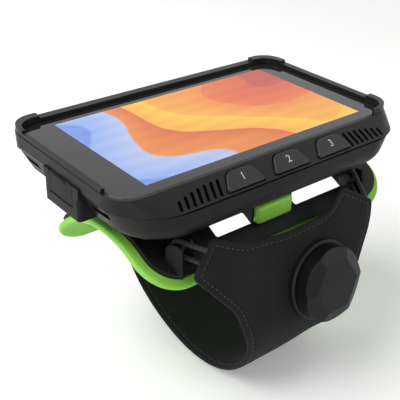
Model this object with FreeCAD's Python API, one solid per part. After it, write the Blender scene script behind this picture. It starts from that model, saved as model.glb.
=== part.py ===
import FreeCAD, Part
import os
from math import sin, cos, tan, radians, degrees, sqrt, hypot, asin, atan2

V = FreeCAD.Vector

# Portable barcode data terminal on a wrist mount, in millimetres.
# Origin: the middle of the forearm seat, on the pad's underside. +X runs along the forearm and the
# terminal's long side, +Y points away from the user, +Z up. The terminal's own pieces are modelled about
# the display's centre on the glass, and one placement puts them on the mount.

# Terminal: glass, display and plan
SEAT_TO_DISPLAY_X = -5.0
SEAT_TO_DISPLAY_Y = 9.0
STAND_HEIGHT = 9.3
DISPLAY_LENGTH = 110.7
DISPLAY_WIDTH = 62.3
DISPLAY_THICK = 1.6
GLASS_LEFT = -69.5
GLASS_RIGHT = 66.3
GLASS_FRONT = -36.7
GLASS_REAR = 36.8
GLASS_CORNER_R = 8.0
GLASS_THICK = 1.1
GLASS_GAP = 0.1
RIM_LEFT = 2.0
RIM_RIGHT = 3.7
RIM_REAR = 4.2
RIM_FRONT = 1.3
RIM_CORNER_R = 10.0

# Terminal: housing
SEAM_DEPTH = 6.2
SEAM_GAP = 0.7
SEAM_RECESS = 0.8
SEAL_WIDTH = 0.7
BODY_SPREAD = 0.8
FRONT_SPREAD = 8.2
BODY_CORNER_R = 14.0
FRONT_LEFT_R = 24.0
FRONT_RIGHT_R = 18.0
LOWER_CORNER_LESS = 1.5
END_CREASE = 4.0
END_SLOPE = 0.53
BODY_DEPTH = 20.0
SEAT_TO_GLASS_Z = STAND_HEIGHT + BODY_DEPTH
BOTTOM_ROUND = 9.5
WALL = 2.0
TOP_PLATE = 3.2
LIP_HEIGHT = 1.7
LIP_SETBACK = 0.3
BUMP_HEIGHT = 2.8
BUMP_REACH = 13.0
LIP_LEFT_END = -27.0
BOSS_R = 3.0

# Terminal: keys and grilles on the sloped front face
KEY_COUNT = 3
KEY_PITCH = 23.3
KEY_MIDDLE_X = 2.8
KEY_BOTTOM_WIDTH = 18.8
KEY_TOP_WIDTH = 11.4
KEY_TOP = 1.5
KEY_BOTTOM = 9.0
KEY_TOP_R = 3.6
KEY_BOTTOM_R = 0.9
KEY_GAP = 0.4
KEY_PROUD = 0.9
KEY_TRAVEL = 0.6
KEY_CAP = 0.5
KEY_STEM_TOP = 2.9
KEY_STEM_BOTTOM = 7.4
KEY_FLANGE = 0.7
KEY_FLANGE_THICK = 0.8
FACE_WALL = 2.0
DOME_GAP = 0.2
KEYPAD_THICK = 1.2
VENT_COUNT = 7
VENT_PITCH = 3.0
VENT_WIDTH = 1.5
VENT_LONG = 7.0
VENT_SHORT = 4.2
VENT_BOTTOM = 9.3
VENT_SLANT = 13.0
VENT_LEFT_X = -41.5
VENT_RIGHT_X = 46.0
SPEAKER_LENGTH = 17.0
SPEAKER_THICK = 3.0
SPEAKER_TOP = 2.9

# Terminal: port, lanyard slots, contacts
PORT_Y = -2.6
PORT_BOSS_WIDTH = 24.0
PORT_BOSS_DEPTH = 17.0
PORT_BOSS_PROUD = 0.6
PORT_BOSS_LIP = 3.2
PORT_LOWER = 0.3
COVER_WIDTH = 15.8
COVER_HEIGHT = 8.6
COVER_THICK = 1.6
COVER_GAP = 0.25
PLUG_WIDTH = 8.6
PLUG_HEIGHT = 2.8
PLUG_DEPTH = 1.2
PORT_WIDTH = 9.0
PORT_HEIGHT = 3.2
PORT_LENGTH = 7.5
LANYARD_LENGTH = 10.0
LANYARD_HEIGHT = 3.0
LANYARD_REAR_Y = 24.0
LANYARD_FRONT_Y = -23.2
LANYARD_TOP = 8.2
LANYARD_INSET = 9.5
CONTACT_COUNT = 5
CONTACT_PITCH = 2.6
CONTACT_R = 0.9
CONTACT_THICK = 0.8

# Terminal: inner pieces
FRAME_THICK = 1.2
BOARD_THICK = 1.2
SHIELD_THICK = 1.4
BATTERY_LENGTH = 84.0
BATTERY_WIDTH = 42.0
BATTERY_THICK = 5.0
INNER_GAP = 0.1
SCREW_R = 1.0
SCREW_HEAD_R = 1.9
SCREW_HEAD_THICK = 1.2
PILOT_GAP = 0.02

# Mount: saddle, which arches round the forearm
FOREARM_R = 43.0
PAD_THICK = 3.0
PLATE_THICK = 2.5
PAD_LEFT = -65.0
PAD_RIGHT = 66.5
PAD_FRONT_ANGLE = 47.5
PAD_REAR_ANGLE = 68.0
PAD_CORNER_R = 17.0
PAD_RIM = 4.0
PAD_ARCH_DEPTH = 4.1
PLATE_ARCH_DEPTH = 1.4
PAD_ARCH_LENGTH = 76.0
WINDOW_FRONT = -25.6
WINDOW_REAR = -18.4
WINDOW_PAD_REAR = -15.5
WINDOW_LEFT = (-29.8, -10.4)
WINDOW_RIGHT = (12.5, 42.5)
WINDOW_PAD_EASE = 2.0
PAD_VENT_LENGTH = 16.0
PAD_VENT_WIDTH = 5.0
PAD_VENT_ANGLE = 56.0
PAD_VENT_INSET = 24.0

# Mount: base, rails, latch
BASE_LENGTH = 68.0
BASE_WIDTH = 38.0
BASE_TOP = 6.6
RAIL_X = 20.0
RAIL_NECK = 6.0
RAIL_HEAD = 12.0
RAIL_NECK_TALL = 1.1
RAIL_HEAD_TALL = 1.4
RAIL_GAP = 0.1
DOCK_LENGTH = 60.0
DOCK_WIDTH = 38.0
DOCK_THICK = 4.9
LATCH_X = -2.2
LATCH_WIDTH = 18.8
LATCH_FRONT = -29.5
LATCH_DEEP = 3.2
LATCH_BOTTOM = -1.6
LATCH_TOP = 6.6
LATCH_TRAVEL = 2.0
LATCH_GAP = 0.3
LATCH_ROUND = 1.8
STEM_WIDTH = 9.0
STEM_BOTTOM = 3.8
STEM_TOP = 5.7
STEM_END = -17.5
NOSE_WIDTH = 4.0
NOSE_LENGTH = 2.5
NOSE_FRONT = -20.2
NOSE_TOP = BASE_TOP - 0.1
TOWER_WIDTH = 15.0
SHROUD_FRONT = -26.8
SHROUD_WALL = 1.0
SHROUD_BOTTOM = 1.2
SHROUD_TOP = 8.3
SPRING_COIL_R = 0.72
SPRING_WIRE_R = 0.16
SPRING_TURNS = 4
CHANNEL_END = -14.1
BASE_SCREW_INSET_X = 4.0
BASE_SCREW_INSET_Y = 6.0
DOCK_SCREW_X = 9.0
DOCK_SCREW_Y = 15.0
MOUNT_SCREW_R = 1.25
MOUNT_HEAD_R = 2.2
MOUNT_HEAD_THICK = 1.5

# Mount: lace hooks
HOOK_LEFT = {"x": -50.0, "turn": 21.0, "dip": 0.0}
HOOK_RIGHT = {"x": 43.5, "turn": -21.0, "dip": 24.0}
HOOK_ANGLE = 32.0
HOOK_HEIGHT = 5.2
POST_R = 2.0
POST_LENGTH = 6.0
FLANGE_R = 3.6
FLANGE_THICK = 1.2
LACE_R = 0.95
LACE_GAP = 0.05

# Cuff: profile of the band's middle surface, from the rear end down, under the wrist and up the front
STRAP_THICK = 2.4
STRAP_START_ANGLE = 44.0
STRAP_LEAVE_ANGLE = 66.0
STRAP_REAR_BEND_R = 13.8
STRAP_REAR_BEND = 44.8
STRAP_UNDER_R = 58.0
STRAP_UNDER_BEND = 80.7
STRAP_FRONT_BEND_R = 33.4
STRAP_FRONT_BEND = 89.5
STRAP_FRONT_RISE = 40.0
STRAP_SPLIT_GAP = 0.5
STRAP_EASE = 0.1
CLAMP_LENGTH = 34.0
CLAMP_WIDTH = 9.0
CLAMP_THICK = 1.6
CLAMP_ANGLE = 50.0
RIVET_R = 1.3
RIVET_PITCH = 11.0

# Cuff: dial
DIAL_X = 8.0
DIAL_Z = -25.5
DIAL_BASE_R = 17.0
DIAL_BASE_TALL = 2.5
DIAL_WALL_R = 13.0
DIAL_WALL = 1.4
DIAL_WALL_TOP = 6.8
CARTRIDGE_SEAT = 1.0
CARTRIDGE_GAP = 0.05
KNOB_R = 15.6
KNOB_BOTTOM = 2.8
KNOB_TOP = 10.6
KNOB_SHOULDER = 6.6
KNOB_HEX_TOP_R = 11.6
KNOB_GAP = 0.3
KNOB_ROOF = 2.6
SPOOL_R = 9.0
SPOOL_CORE_R = 6.0
SPOOL_FLANGE = 0.8
SPOOL_GAP = 0.25
HUB_R = 3.2
AXLE_R = 1.6
AXLE_GAP = 0.05
AXLE_FLOOR = 0.6
AXLE_COLLAR_R = 2.8
AXLE_COLLAR = 0.8
AXLE_SOCKET = 1.6

os.makedirs("parts", exist_ok=True)


def box(x0, x1, y0, y1, z0, z1):
    return Part.makeBox(x1 - x0, y1 - y0, z1 - z0, V(x0, y0, z0))


def rod(radius, start, end):
    """A cylinder from one point to another."""
    axis = V(*end) - V(*start)
    return Part.makeCylinder(radius, axis.Length, V(*start), axis)


def cut(shape, *tools):
    for tool in tools:
        shape = shape.cut(tool)
    return shape


def fuse(*shapes):
    whole = shapes[0]
    for shape in shapes[1:]:
        whole = whole.fuse(shape)
    return whole.removeSplitter()


def save(node, shape):
    solids = shape.Solids
    if not solids:
        raise RuntimeError(node + " has no solid")
    out = solids[0] if len(solids) == 1 else Part.makeCompound(solids)
    print(node, len(solids), round(out.Volume, 1), out.isValid())
    out.exportStep("parts/" + node + ".step")


def rounded_wire(x0, x1, y0, y1, r, z):
    """A rectangle with round corners, at height z. r is one radius, or four from the front right on."""
    a, b, c, d = r if isinstance(r, tuple) else (r, r, r, r)
    part = 1.0 - sqrt(0.5)
    corners = [
        (V(x1 - a, y0, z), V(x1 - a * part, y0 + a * part, z), V(x1, y0 + a, z)),
        (V(x1, y1 - b, z), V(x1 - b * part, y1 - b * part, z), V(x1 - b, y1, z)),
        (V(x0 + c, y1, z), V(x0 + c * part, y1 - c * part, z), V(x0, y1 - c, z)),
        (V(x0, y0 + d, z), V(x0 + d * part, y0 + d * part, z), V(x0 + d, y0, z)),
    ]
    edges = []
    for i, (start, middle, end) in enumerate(corners):
        edges.append(Part.Arc(start, middle, end).toShape())
        edges.append(Part.LineSegment(end, corners[(i + 1) % 4][0]).toShape())
    return Part.Wire(edges)


def slab(x0, x1, y0, y1, r, z0, z1):
    """A plate with round corners."""
    face = Part.Face(rounded_wire(x0, x1, y0, y1, r, z0))
    return face.extrude(V(0, 0, z1 - z0))


def ruled(lower, upper):
    return Part.makeLoft([lower, upper], True, True)


def rounded_polygon(points, radii):
    """A flat wire through the points at z = 0, each corner rounded by its radius."""
    n = len(points)
    tangents = []
    for i in range(n):
        p = V(points[i][0], points[i][1], 0)
        a = V(points[i - 1][0], points[i - 1][1], 0) - p
        b = V(points[(i + 1) % n][0], points[(i + 1) % n][1], 0) - p
        half = a.getAngle(b) / 2.0
        reach = radii[i] / tan(half)
        a.normalize()
        b.normalize()
        middle = a + b
        middle.normalize()
        inner = p + middle * (radii[i] / sin(half) - radii[i])
        tangents.append((p + a * reach, inner, p + b * reach))
    edges = []
    for i in range(n):
        start, inner, end = tangents[i]
        edges.append(Part.Arc(start, inner, end).toShape())
        edges.append(Part.LineSegment(end, tangents[(i + 1) % n][0]).toShape())
    return Part.Wire(edges)


def on_terminal(shape):
    placed = shape.copy()
    placed.translate(V(SEAT_TO_DISPLAY_X, SEAT_TO_DISPLAY_Y, SEAT_TO_GLASS_Z))
    return placed


# The terminal's plan: the rim round the glass, and the wider body at the seam
RIM_X0 = GLASS_LEFT - RIM_LEFT
RIM_X1 = GLASS_RIGHT + RIM_RIGHT
RIM_Y0 = GLASS_FRONT - RIM_FRONT
RIM_Y1 = GLASS_REAR + RIM_REAR
BODY_X0 = RIM_X0 - BODY_SPREAD
BODY_X1 = RIM_X1 + BODY_SPREAD
BODY_Y0 = RIM_Y0 - FRONT_SPREAD
BODY_Y1 = RIM_Y1 + BODY_SPREAD
BODY_TOP = -(SEAM_DEPTH + SEAM_GAP)
MIDDLE_X = (BODY_X0 + BODY_X1) / 2.0

# The sloped front face runs from the glass down to the seam
FACE_LENGTH = hypot(FRONT_SPREAD, SEAM_DEPTH)
FACE_TILT = degrees(atan2(SEAM_DEPTH, FRONT_SPREAD))
FACE_OUT = V(0, -SEAM_DEPTH / FACE_LENGTH, FRONT_SPREAD / FACE_LENGTH)
WALL_ACROSS = FACE_WALL * FACE_LENGTH / SEAM_DEPTH


def on_face(shape):
    """From a flat drawing (x along the edge, -y down the slope, z outward) to the sloped face."""
    placed = shape.copy()
    placed.rotate(V(0, 0, 0), V(1, 0, 0), FACE_TILT)
    placed.translate(V(0, RIM_Y0, 0))
    return placed


def body_radii(less):
    """The radii of the body's corners, from the front right on round."""
    rear = BODY_CORNER_R - less
    return (FRONT_RIGHT_R - less, rear, rear, FRONT_LEFT_R - less)


def plan_wire(inset, y0, z, corner):
    return rounded_wire(BODY_X0 + inset, BODY_X1 - inset, y0, BODY_Y1 - inset, corner, z)


def end_taper(z):
    """How far the end faces have drawn in at a height below the crease."""
    return max(0.0, -END_CREASE - z) * END_SLOPE


def end_wedges(inset):
    """What the slanted end faces leave off below the crease."""
    low = -BODY_DEPTH - 1.0
    wedges = []
    for x, outward in ((BODY_X0 + inset, -1), (BODY_X1 - inset, 1)):
        points = [V(x, BODY_Y0 - 1, -END_CREASE), V(x + outward * 5.0, BODY_Y0 - 1, -END_CREASE),
                  V(x + outward * 5.0, BODY_Y0 - 1, low), V(x - outward * end_taper(low), BODY_Y0 - 1, low)]
        face = Part.Face(Part.makePolygon(points + [points[0]]))
        wedges.append(face.extrude(V(0, BODY_Y1 - BODY_Y0 + 2, 0)))
    return wedges


def screw_places():
    left = BODY_X0 + 16.0
    right = BODY_X1 - 16.0
    rear = BODY_Y1 - 8.0
    return [(left, RIM_Y0 + 5.0), (right, RIM_Y0 + 5.0), (left, rear), (right, rear), (MIDDLE_X, rear)]


def key_outline(grow):
    """The key's outline on the face: narrow and round at the top, wide at the bottom."""
    top = -(KEY_TOP - grow)
    low = -(KEY_BOTTOM + grow)
    wide = KEY_BOTTOM_WIDTH / 2.0 + grow
    slim = KEY_TOP_WIDTH / 2.0 + grow
    points = [(-wide, low), (wide, low), (slim, top), (-slim, top)]
    return points, [KEY_BOTTOM_R, KEY_BOTTOM_R, KEY_TOP_R, KEY_TOP_R]


def key_prism(x, grow, z0, z1):
    points, radii = key_outline(grow)
    face = Part.Face(rounded_polygon(points, radii))
    prism = face.extrude(V(0, 0, z1 - z0))
    prism.translate(V(x, 0, z0))
    return prism


def key_x(index):
    return KEY_MIDDLE_X + (index - (KEY_COUNT - 1) / 2.0) * KEY_PITCH


def vent_slot(x, length, slant, z0, z1):
    """One upright slot with round ends, low end on the line VENT_BOTTOM, slanted about it."""
    r = VENT_WIDTH / 2.0
    body = box(-r, r, r, length - r, z0, z1)
    low = Part.makeCylinder(r, z1 - z0, V(0, r, z0))
    high = Part.makeCylinder(r, z1 - z0, V(0, length - r, z0))
    slot = fuse(body, low, high)
    slot.rotate(V(0, 0, 0), V(0, 0, 1), slant)
    slot.translate(V(x, -VENT_BOTTOM, 0))
    return slot


def vents(z0, z1):
    """Both grilles. The slots grow shorter towards the outer end and lean outwards at the bottom."""
    slots = []
    for middle, side in ((VENT_LEFT_X, -1), (VENT_RIGHT_X, 1)):
        for i in range(VENT_COUNT):
            outward = i / (VENT_COUNT - 1.0)
            length = VENT_LONG - (VENT_LONG - VENT_SHORT) * outward ** 2
            x = middle + side * (i - (VENT_COUNT - 1) / 2.0) * VENT_PITCH
            slots.append(vent_slot(x, length, side * VENT_SLANT, z0, z1))
    return slots


def make_upper_housing():
    outer = ruled(plan_wire(0, BODY_Y0, -SEAM_DEPTH, body_radii(0)),
                  rounded_wire(RIM_X0, RIM_X1, RIM_Y0, RIM_Y1, RIM_CORNER_R, 0))
    outer = cut(outer, *end_wedges(0))
    slope = FRONT_SPREAD / SEAM_DEPTH
    inner_front = BODY_Y0 + WALL_ACROSS
    rise = SEAM_DEPTH - TOP_PLATE
    inner = ruled(plan_wire(WALL, inner_front, -SEAM_DEPTH, body_radii(WALL)),
                  plan_wire(WALL + BODY_SPREAD, inner_front + rise * slope, -TOP_PLATE,
                            RIM_CORNER_R - WALL))
    inner = cut(inner, *end_wedges(WALL))
    glass_seat = slab(GLASS_LEFT - GLASS_GAP, GLASS_RIGHT + GLASS_GAP, GLASS_FRONT - GLASS_GAP,
                      GLASS_REAR + GLASS_GAP, GLASS_CORNER_R, -GLASS_THICK, BUMP_HEIGHT)
    opening = box(-DISPLAY_LENGTH / 2 - WALL - GLASS_GAP, DISPLAY_LENGTH / 2 + WALL + GLASS_GAP,
                  -DISPLAY_WIDTH / 2 - WALL - GLASS_GAP, DISPLAY_WIDTH / 2 + WALL + GLASS_GAP,
                  -TOP_PLATE, 0)
    lip = slab(RIM_X0 + LIP_SETBACK, RIM_X1 - LIP_SETBACK, RIM_Y0 + LIP_SETBACK, RIM_Y1 - LIP_SETBACK,
               RIM_CORNER_R - LIP_SETBACK, 0, LIP_HEIGHT)
    front_left = box(RIM_X0, RIM_X1 - BUMP_REACH, RIM_Y0, LIP_LEFT_END, 0, LIP_HEIGHT)
    bumps = slab(RIM_X0 + LIP_SETBACK, RIM_X1 - LIP_SETBACK, RIM_Y0 + LIP_SETBACK,
                 RIM_Y1 - LIP_SETBACK, RIM_CORNER_R - LIP_SETBACK, 0, BUMP_HEIGHT)
    corners = []
    for x0, x1, y0, y1 in ((RIM_X0, RIM_X0 + BUMP_REACH, RIM_Y1 - BUMP_REACH, RIM_Y1),
                           (RIM_X1 - BUMP_REACH, RIM_X1, RIM_Y1 - BUMP_REACH, RIM_Y1),
                           (RIM_X1 - BUMP_REACH, RIM_X1, RIM_Y0, RIM_Y0 + BUMP_REACH)):
        corners.append(bumps.common(box(x0, x1, y0, y1, 0, BUMP_HEIGHT)))
    body = fuse(outer, cut(lip, front_left), *corners)
    body = cut(body, inner, glass_seat, opening, boss_box(INNER_GAP, BODY_TOP - 1.0, BOSS_TOP + INNER_GAP))
    bosses = []
    for x, y in screw_places():
        boss = rod(BOSS_R, (x, y, -SEAM_DEPTH), (x, y, -TOP_PLATE))
        bosses.append(cut(boss, rod(SCREW_R + PILOT_GAP, (x, y, -SEAM_DEPTH), (x, y, -TOP_PLATE - 0.6))))
    body = fuse(body, *bosses)
    for i in range(KEY_COUNT):
        body = body.cut(on_face(key_prism(key_x(i), KEY_GAP, -FACE_WALL * 2, KEY_PROUD * 2)))
    for slot in vents(-FACE_WALL * 2, KEY_PROUD * 2):
        body = body.cut(on_face(slot))
    return body


def lower_block(inset, z_top, depth, round_r, radii):
    """The lower body's outer or inner form: ends that slant inwards, and a round bottom edge."""
    block = box(BODY_X0 + inset, BODY_X1 - inset, BODY_Y0 + inset, BODY_Y1 - inset, -depth, z_top)
    block = cut(block, *end_wedges(inset))
    front_right, rear_right, rear_left, front_left = radii
    for radius, at_right, at_rear in ((front_right, True, False), (rear_right, True, True),
                                      (rear_left, False, True), (front_left, False, False)):
        upright = []
        for edge in block.Edges:
            bounds = edge.BoundBox
            if bounds.ZLength > 1.0 and (bounds.Center.x > 0) == at_right and bounds.YLength < 1e-4:
                if abs(bounds.Center.y - (BODY_Y1 - inset if at_rear else BODY_Y0 + inset)) < 1e-4:
                    upright.append(edge)
        block = block.makeFillet(radius, upright)
    low_edges = []
    for edge in block.Edges:
        if abs(edge.BoundBox.ZMax + depth) < 1e-4:
            low_edges.append(edge)
    return block.makeFillet(round_r, low_edges)


# Where the dock plate lies, seen from the display's centre
DOCK_X = -SEAT_TO_DISPLAY_X
DOCK_Y = -SEAT_TO_DISPLAY_Y
DOCK_BOTTOM = BASE_TOP + RAIL_GAP
DOCK_TOP = DOCK_BOTTOM + DOCK_THICK
POCKET_TOP = DOCK_TOP + INNER_GAP - SEAT_TO_GLASS_Z
POCKET_FLOOR = 1.7
RAISED_FLOOR = POCKET_TOP + POCKET_FLOOR


def dock_box(grow, z0, z1):
    return box(DOCK_X - DOCK_LENGTH / 2 - grow, DOCK_X + DOCK_LENGTH / 2 + grow,
               DOCK_Y - DOCK_WIDTH / 2 - grow, DOCK_Y + DOCK_WIDTH / 2 + grow, z0, z1)


# Port cover: it closes the recess in the boss on the left end and hinges on its lower edge
BOSS_FACE = BODY_X0 - PORT_BOSS_PROUD
BOSS_TOP = -3.7
COVER_TOP = BOSS_TOP - COVER_GAP
COVER_AXIS_X = BOSS_FACE + COVER_THICK / 2.0
COVER_AXIS_Z = COVER_TOP - COVER_HEIGHT + COVER_THICK / 2.0
PORT_Z = COVER_TOP - COVER_HEIGHT / 2.0 - PORT_LOWER


def boss_box(grow, z0, z1):
    """The boss's upper part, which stands in a notch of the upper housing."""
    half = PORT_BOSS_WIDTH / 2.0 + grow
    return box(BOSS_FACE - grow, BOSS_FACE + PORT_BOSS_LIP + grow, PORT_Y - half, PORT_Y + half, z0, z1)


def port_tools():
    """The recess for the cover and the way in to the connector."""
    half = COVER_WIDTH / 2.0 + COVER_GAP
    low = COVER_AXIS_Z - COVER_THICK / 2.0 - COVER_GAP
    recess = box(BOSS_FACE - 1.0, BOSS_FACE + COVER_THICK + COVER_GAP, PORT_Y - half, PORT_Y + half,
                 low, BOSS_TOP + 1.0)
    wide = PLUG_WIDTH / 2.0 + 0.4
    tall = PLUG_HEIGHT / 2.0 + 0.5
    hole = box(BOSS_FACE, BOSS_FACE + WALL * 3, PORT_Y - wide, PORT_Y + wide, PORT_Z - tall, PORT_Z + tall)
    return [recess, hole]


def lanyard_places():
    places = []
    for y in (LANYARD_REAR_Y, LANYARD_FRONT_Y):
        places.append((BODY_X0, 1, y))
        places.append((BODY_X1, -1, y))
    return places


def lanyard_tools(x_end, inward, y):
    """A slot in from the end face and another up from below, which meet round a bar."""
    half = LANYARD_LENGTH / 2.0
    far = x_end + inward * LANYARD_INSET
    near = x_end + inward * (LANYARD_INSET - LANYARD_HEIGHT)
    side = x_end - inward * 1.0
    across = box(min(side, far), max(side, far), y - half, y + half, -LANYARD_TOP - LANYARD_HEIGHT,
                 -LANYARD_TOP)
    down = box(min(near, far), max(near, far), y - half, y + half, -BODY_DEPTH - 1.0, -LANYARD_TOP)
    return [across, down]


def make_lower_housing():
    outer = lower_block(0, BODY_TOP, BODY_DEPTH, BOTTOM_ROUND, body_radii(LOWER_CORNER_LESS))
    inner = lower_block(WALL, BODY_TOP, BODY_DEPTH - WALL, BOTTOM_ROUND - WALL,
                        body_radii(LOWER_CORNER_LESS + WALL))
    boss = slab(BOSS_FACE, BODY_X0 + 12.0, PORT_Y - PORT_BOSS_WIDTH / 2, PORT_Y + PORT_BOSS_WIDTH / 2,
                1.5, -PORT_BOSS_DEPTH, BODY_TOP)
    shell = outer.fuse(boss)
    pillars = []
    for x_end, inward, y in lanyard_places():
        x0 = min(x_end, x_end + inward * (LANYARD_INSET + WALL))
        x1 = max(x_end, x_end + inward * (LANYARD_INSET + WALL))
        half = LANYARD_LENGTH / 2.0 + WALL
        pillars.append(box(x0, x1, y - half, y + half, -BODY_DEPTH, BODY_TOP).common(outer))
    port_block = box(BODY_X0 + 1.0, BODY_X0 + 5.0, PORT_Y - PORT_BOSS_WIDTH / 2 + WALL,
                     PORT_Y + PORT_BOSS_WIDTH / 2 - WALL, -PORT_BOSS_DEPTH + WALL, BODY_TOP)
    raised = dock_box(WALL, -BODY_DEPTH, RAISED_FLOOR)
    bosses = []
    for x, y in screw_places():
        bosses.append(rod(BOSS_R, (x, y, -BODY_DEPTH + 1.0), (x, y, -SEAM_DEPTH)))
    body = cut(shell, inner)
    body = fuse(body, boss_box(0, BODY_TOP - 1.0, BOSS_TOP), raised, port_block.common(fuse(outer, boss)), *pillars)
    body = fuse(body, *bosses)
    body = cut(body, dock_box(INNER_GAP, -BODY_DEPTH - 1.0, POCKET_TOP), *port_tools())
    for place in lanyard_places():
        body = cut(body, *lanyard_tools(*place))
    for x, y in screw_places():
        body = cut(body, rod(SCREW_R + PILOT_GAP, (x, y, -BODY_DEPTH - 1), (x, y, -SEAM_DEPTH)),
                   rod(SCREW_HEAD_R + INNER_GAP, (x, y, -BODY_DEPTH - 1),
                       (x, y, -BODY_DEPTH + SCREW_HEAD_THICK + 1.0)))
    for x, y in contact_places():
        body = cut(body, rod(CONTACT_R, (x, y, -BODY_DEPTH - 1), (x, y, -BODY_DEPTH + CONTACT_THICK)))
    for x, y in dock_screw_places():
        body = cut(body, rod(MOUNT_SCREW_R + PILOT_GAP, (x, y, -BODY_DEPTH - 1), (x, y, RAISED_FLOOR)))
    return body


def contact_places():
    x = DOCK_X + DOCK_LENGTH / 2 + 8.0
    first = DOCK_Y - (CONTACT_COUNT - 1) * CONTACT_PITCH / 2.0
    return [(x, first + i * CONTACT_PITCH) for i in range(CONTACT_COUNT)]


def dock_screw_places():
    return [(DOCK_X + sx * DOCK_SCREW_X, DOCK_Y + sy * DOCK_SCREW_Y) for sx in (-1, 1) for sy in (-1, 1)]


def make_housing_seal():
    """The rubber ring between the shells. Its outer side is set back, which leaves the black groove."""
    rings = []
    for inset in (SEAM_RECESS, SEAM_RECESS + SEAL_WIDTH):
        across = inset + end_taper(BODY_TOP)
        wire = rounded_wire(BODY_X0 + across, BODY_X1 - across, BODY_Y0 + inset, BODY_Y1 - inset,
                            body_radii(LOWER_CORNER_LESS + inset), BODY_TOP)
        rings.append(Part.Face(wire))
    ring = rings[0].cut(rings[1])
    return ring.extrude(V(0, 0, SEAM_GAP)).cut(boss_box(0, BODY_TOP, -SEAM_DEPTH))


def make_cover_glass():
    glass = slab(GLASS_LEFT, GLASS_RIGHT, GLASS_FRONT, GLASS_REAR, GLASS_CORNER_R, -GLASS_THICK, 0)
    top_edges = [edge for edge in glass.Edges if edge.BoundBox.ZMin > -1e-4]
    return glass.makeChamfer(0.25, top_edges)


def make_display_panel():
    reach = WALL
    return box(-DISPLAY_LENGTH / 2 - reach, DISPLAY_LENGTH / 2 + reach, -DISPLAY_WIDTH / 2 - reach,
               DISPLAY_WIDTH / 2 + reach, -GLASS_THICK - DISPLAY_THICK, -GLASS_THICK)


# Heights of the inner stack, downwards from the display
FRAME_TOP = -TOP_PLATE - INNER_GAP
FRAME_LOW = FRAME_TOP - FRAME_THICK
BOARD_TOP = FRAME_LOW - 1.0
BOARD_LOW = BOARD_TOP - BOARD_THICK
BATTERY_LOW = RAISED_FLOOR + INNER_GAP
BATTERY_TOP = BATTERY_LOW + BATTERY_THICK
SHIELD_LOW = BOARD_LOW - SHIELD_THICK
INNER_FRONT = RIM_Y0 + 2.1


def clear_of_bosses(shape, z0, z1):
    for x, y in screw_places():
        shape = shape.cut(rod(BOSS_R + INNER_GAP * 3, (x, y, z0), (x, y, z1)))
    return shape


def make_mid_frame():
    plate = box(BODY_X0 + WALL + 5.0, BODY_X1 - WALL - 5.0, INNER_FRONT, BODY_Y1 - WALL - 3.0,
                FRAME_LOW, FRAME_TOP)
    posts = []
    for x in (-50.0, 0.0, 50.0):
        for y in (-20.0, 22.0):
            posts.append(rod(2.5, (x, y, BOARD_TOP), (x, y, FRAME_LOW)))
    rest = box(-DISPLAY_LENGTH / 2, DISPLAY_LENGTH / 2, -DISPLAY_WIDTH / 2, DISPLAY_WIDTH / 2,
               FRAME_TOP, -GLASS_THICK - DISPLAY_THICK)
    return clear_of_bosses(fuse(plate, rest, *posts), FRAME_LOW - 2.0, 0.0)


def make_main_board():
    board = box(BODY_X0 + WALL + 7.0, BODY_X1 - WALL - 7.0, INNER_FRONT + 1.0, BODY_Y1 - WALL - 4.0,
                BOARD_LOW, BOARD_TOP)
    return clear_of_bosses(board, BOARD_LOW - 1.0, BOARD_TOP + 1.0)


def make_shield_can():
    can = box(-44.0, 26.0, 4.0, 29.5, SHIELD_LOW, BOARD_LOW)
    hollow = box(-43.6, 25.6, 4.4, 29.1, SHIELD_LOW + 0.4, BOARD_LOW)
    return can.cut(hollow)


def make_battery_pack():
    pack = slab(DOCK_X - BATTERY_LENGTH / 2, DOCK_X + BATTERY_LENGTH / 2, DOCK_Y - BATTERY_WIDTH / 2,
                DOCK_Y + BATTERY_WIDTH / 2, 3.0, BATTERY_LOW, BATTERY_TOP)
    return clear_of_bosses(pack, BATTERY_LOW - 1.0, BATTERY_TOP + 1.0)


def make_speaker(middle):
    """A flat loudspeaker against the inner side of the sloped wall, behind its grille."""
    top = -FACE_WALL - INNER_GAP
    speaker = box(middle - SPEAKER_LENGTH / 2, middle + SPEAKER_LENGTH / 2, -VENT_BOTTOM + 0.6,
                  -SPEAKER_TOP, top - SPEAKER_THICK, top)
    return on_face(speaker)


def make_key(index):
    """A cap in the face, a stem through the wall and a wide flange behind it that keeps the key in."""
    x = key_x(index)
    cap = key_prism(x, 0, -KEY_CAP, KEY_PROUD)
    crown = [edge for edge in cap.Edges if edge.BoundBox.ZMin > KEY_PROUD - 1e-4]
    cap = cap.makeFillet(0.5, crown)
    slim = KEY_TOP_WIDTH / 2.0 - KEY_GAP
    wide = KEY_BOTTOM_WIDTH / 2.0 + KEY_FLANGE
    flange_top = -FACE_WALL - INNER_GAP
    stem = box(x - slim, x + slim, -KEY_STEM_BOTTOM, -KEY_STEM_TOP, flange_top, -KEY_CAP)
    flange = box(x - wide, x + wide, -KEY_STEM_BOTTOM, -KEY_STEM_TOP, flange_top - KEY_FLANGE_THICK, flange_top)
    return on_face(fuse(cap, stem, flange))


KEYPAD_TOP = -FACE_WALL - INNER_GAP - KEY_FLANGE_THICK - KEY_TRAVEL - DOME_GAP


def make_keypad_board():
    reach = KEY_BOTTOM_WIDTH / 2.0
    board = box(key_x(0) - reach, key_x(KEY_COUNT - 1) + reach, -KEY_BOTTOM + 0.5, -KEY_TOP,
                KEYPAD_TOP - KEYPAD_THICK, KEYPAD_TOP - 0.3)
    domes = []
    for i in range(KEY_COUNT):
        middle = -(KEY_TOP + KEY_BOTTOM) / 2.0
        domes.append(rod(3.0, (key_x(i), middle, KEYPAD_TOP - 0.3), (key_x(i), middle, KEYPAD_TOP)))
    return on_face(fuse(board, *domes))


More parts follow.
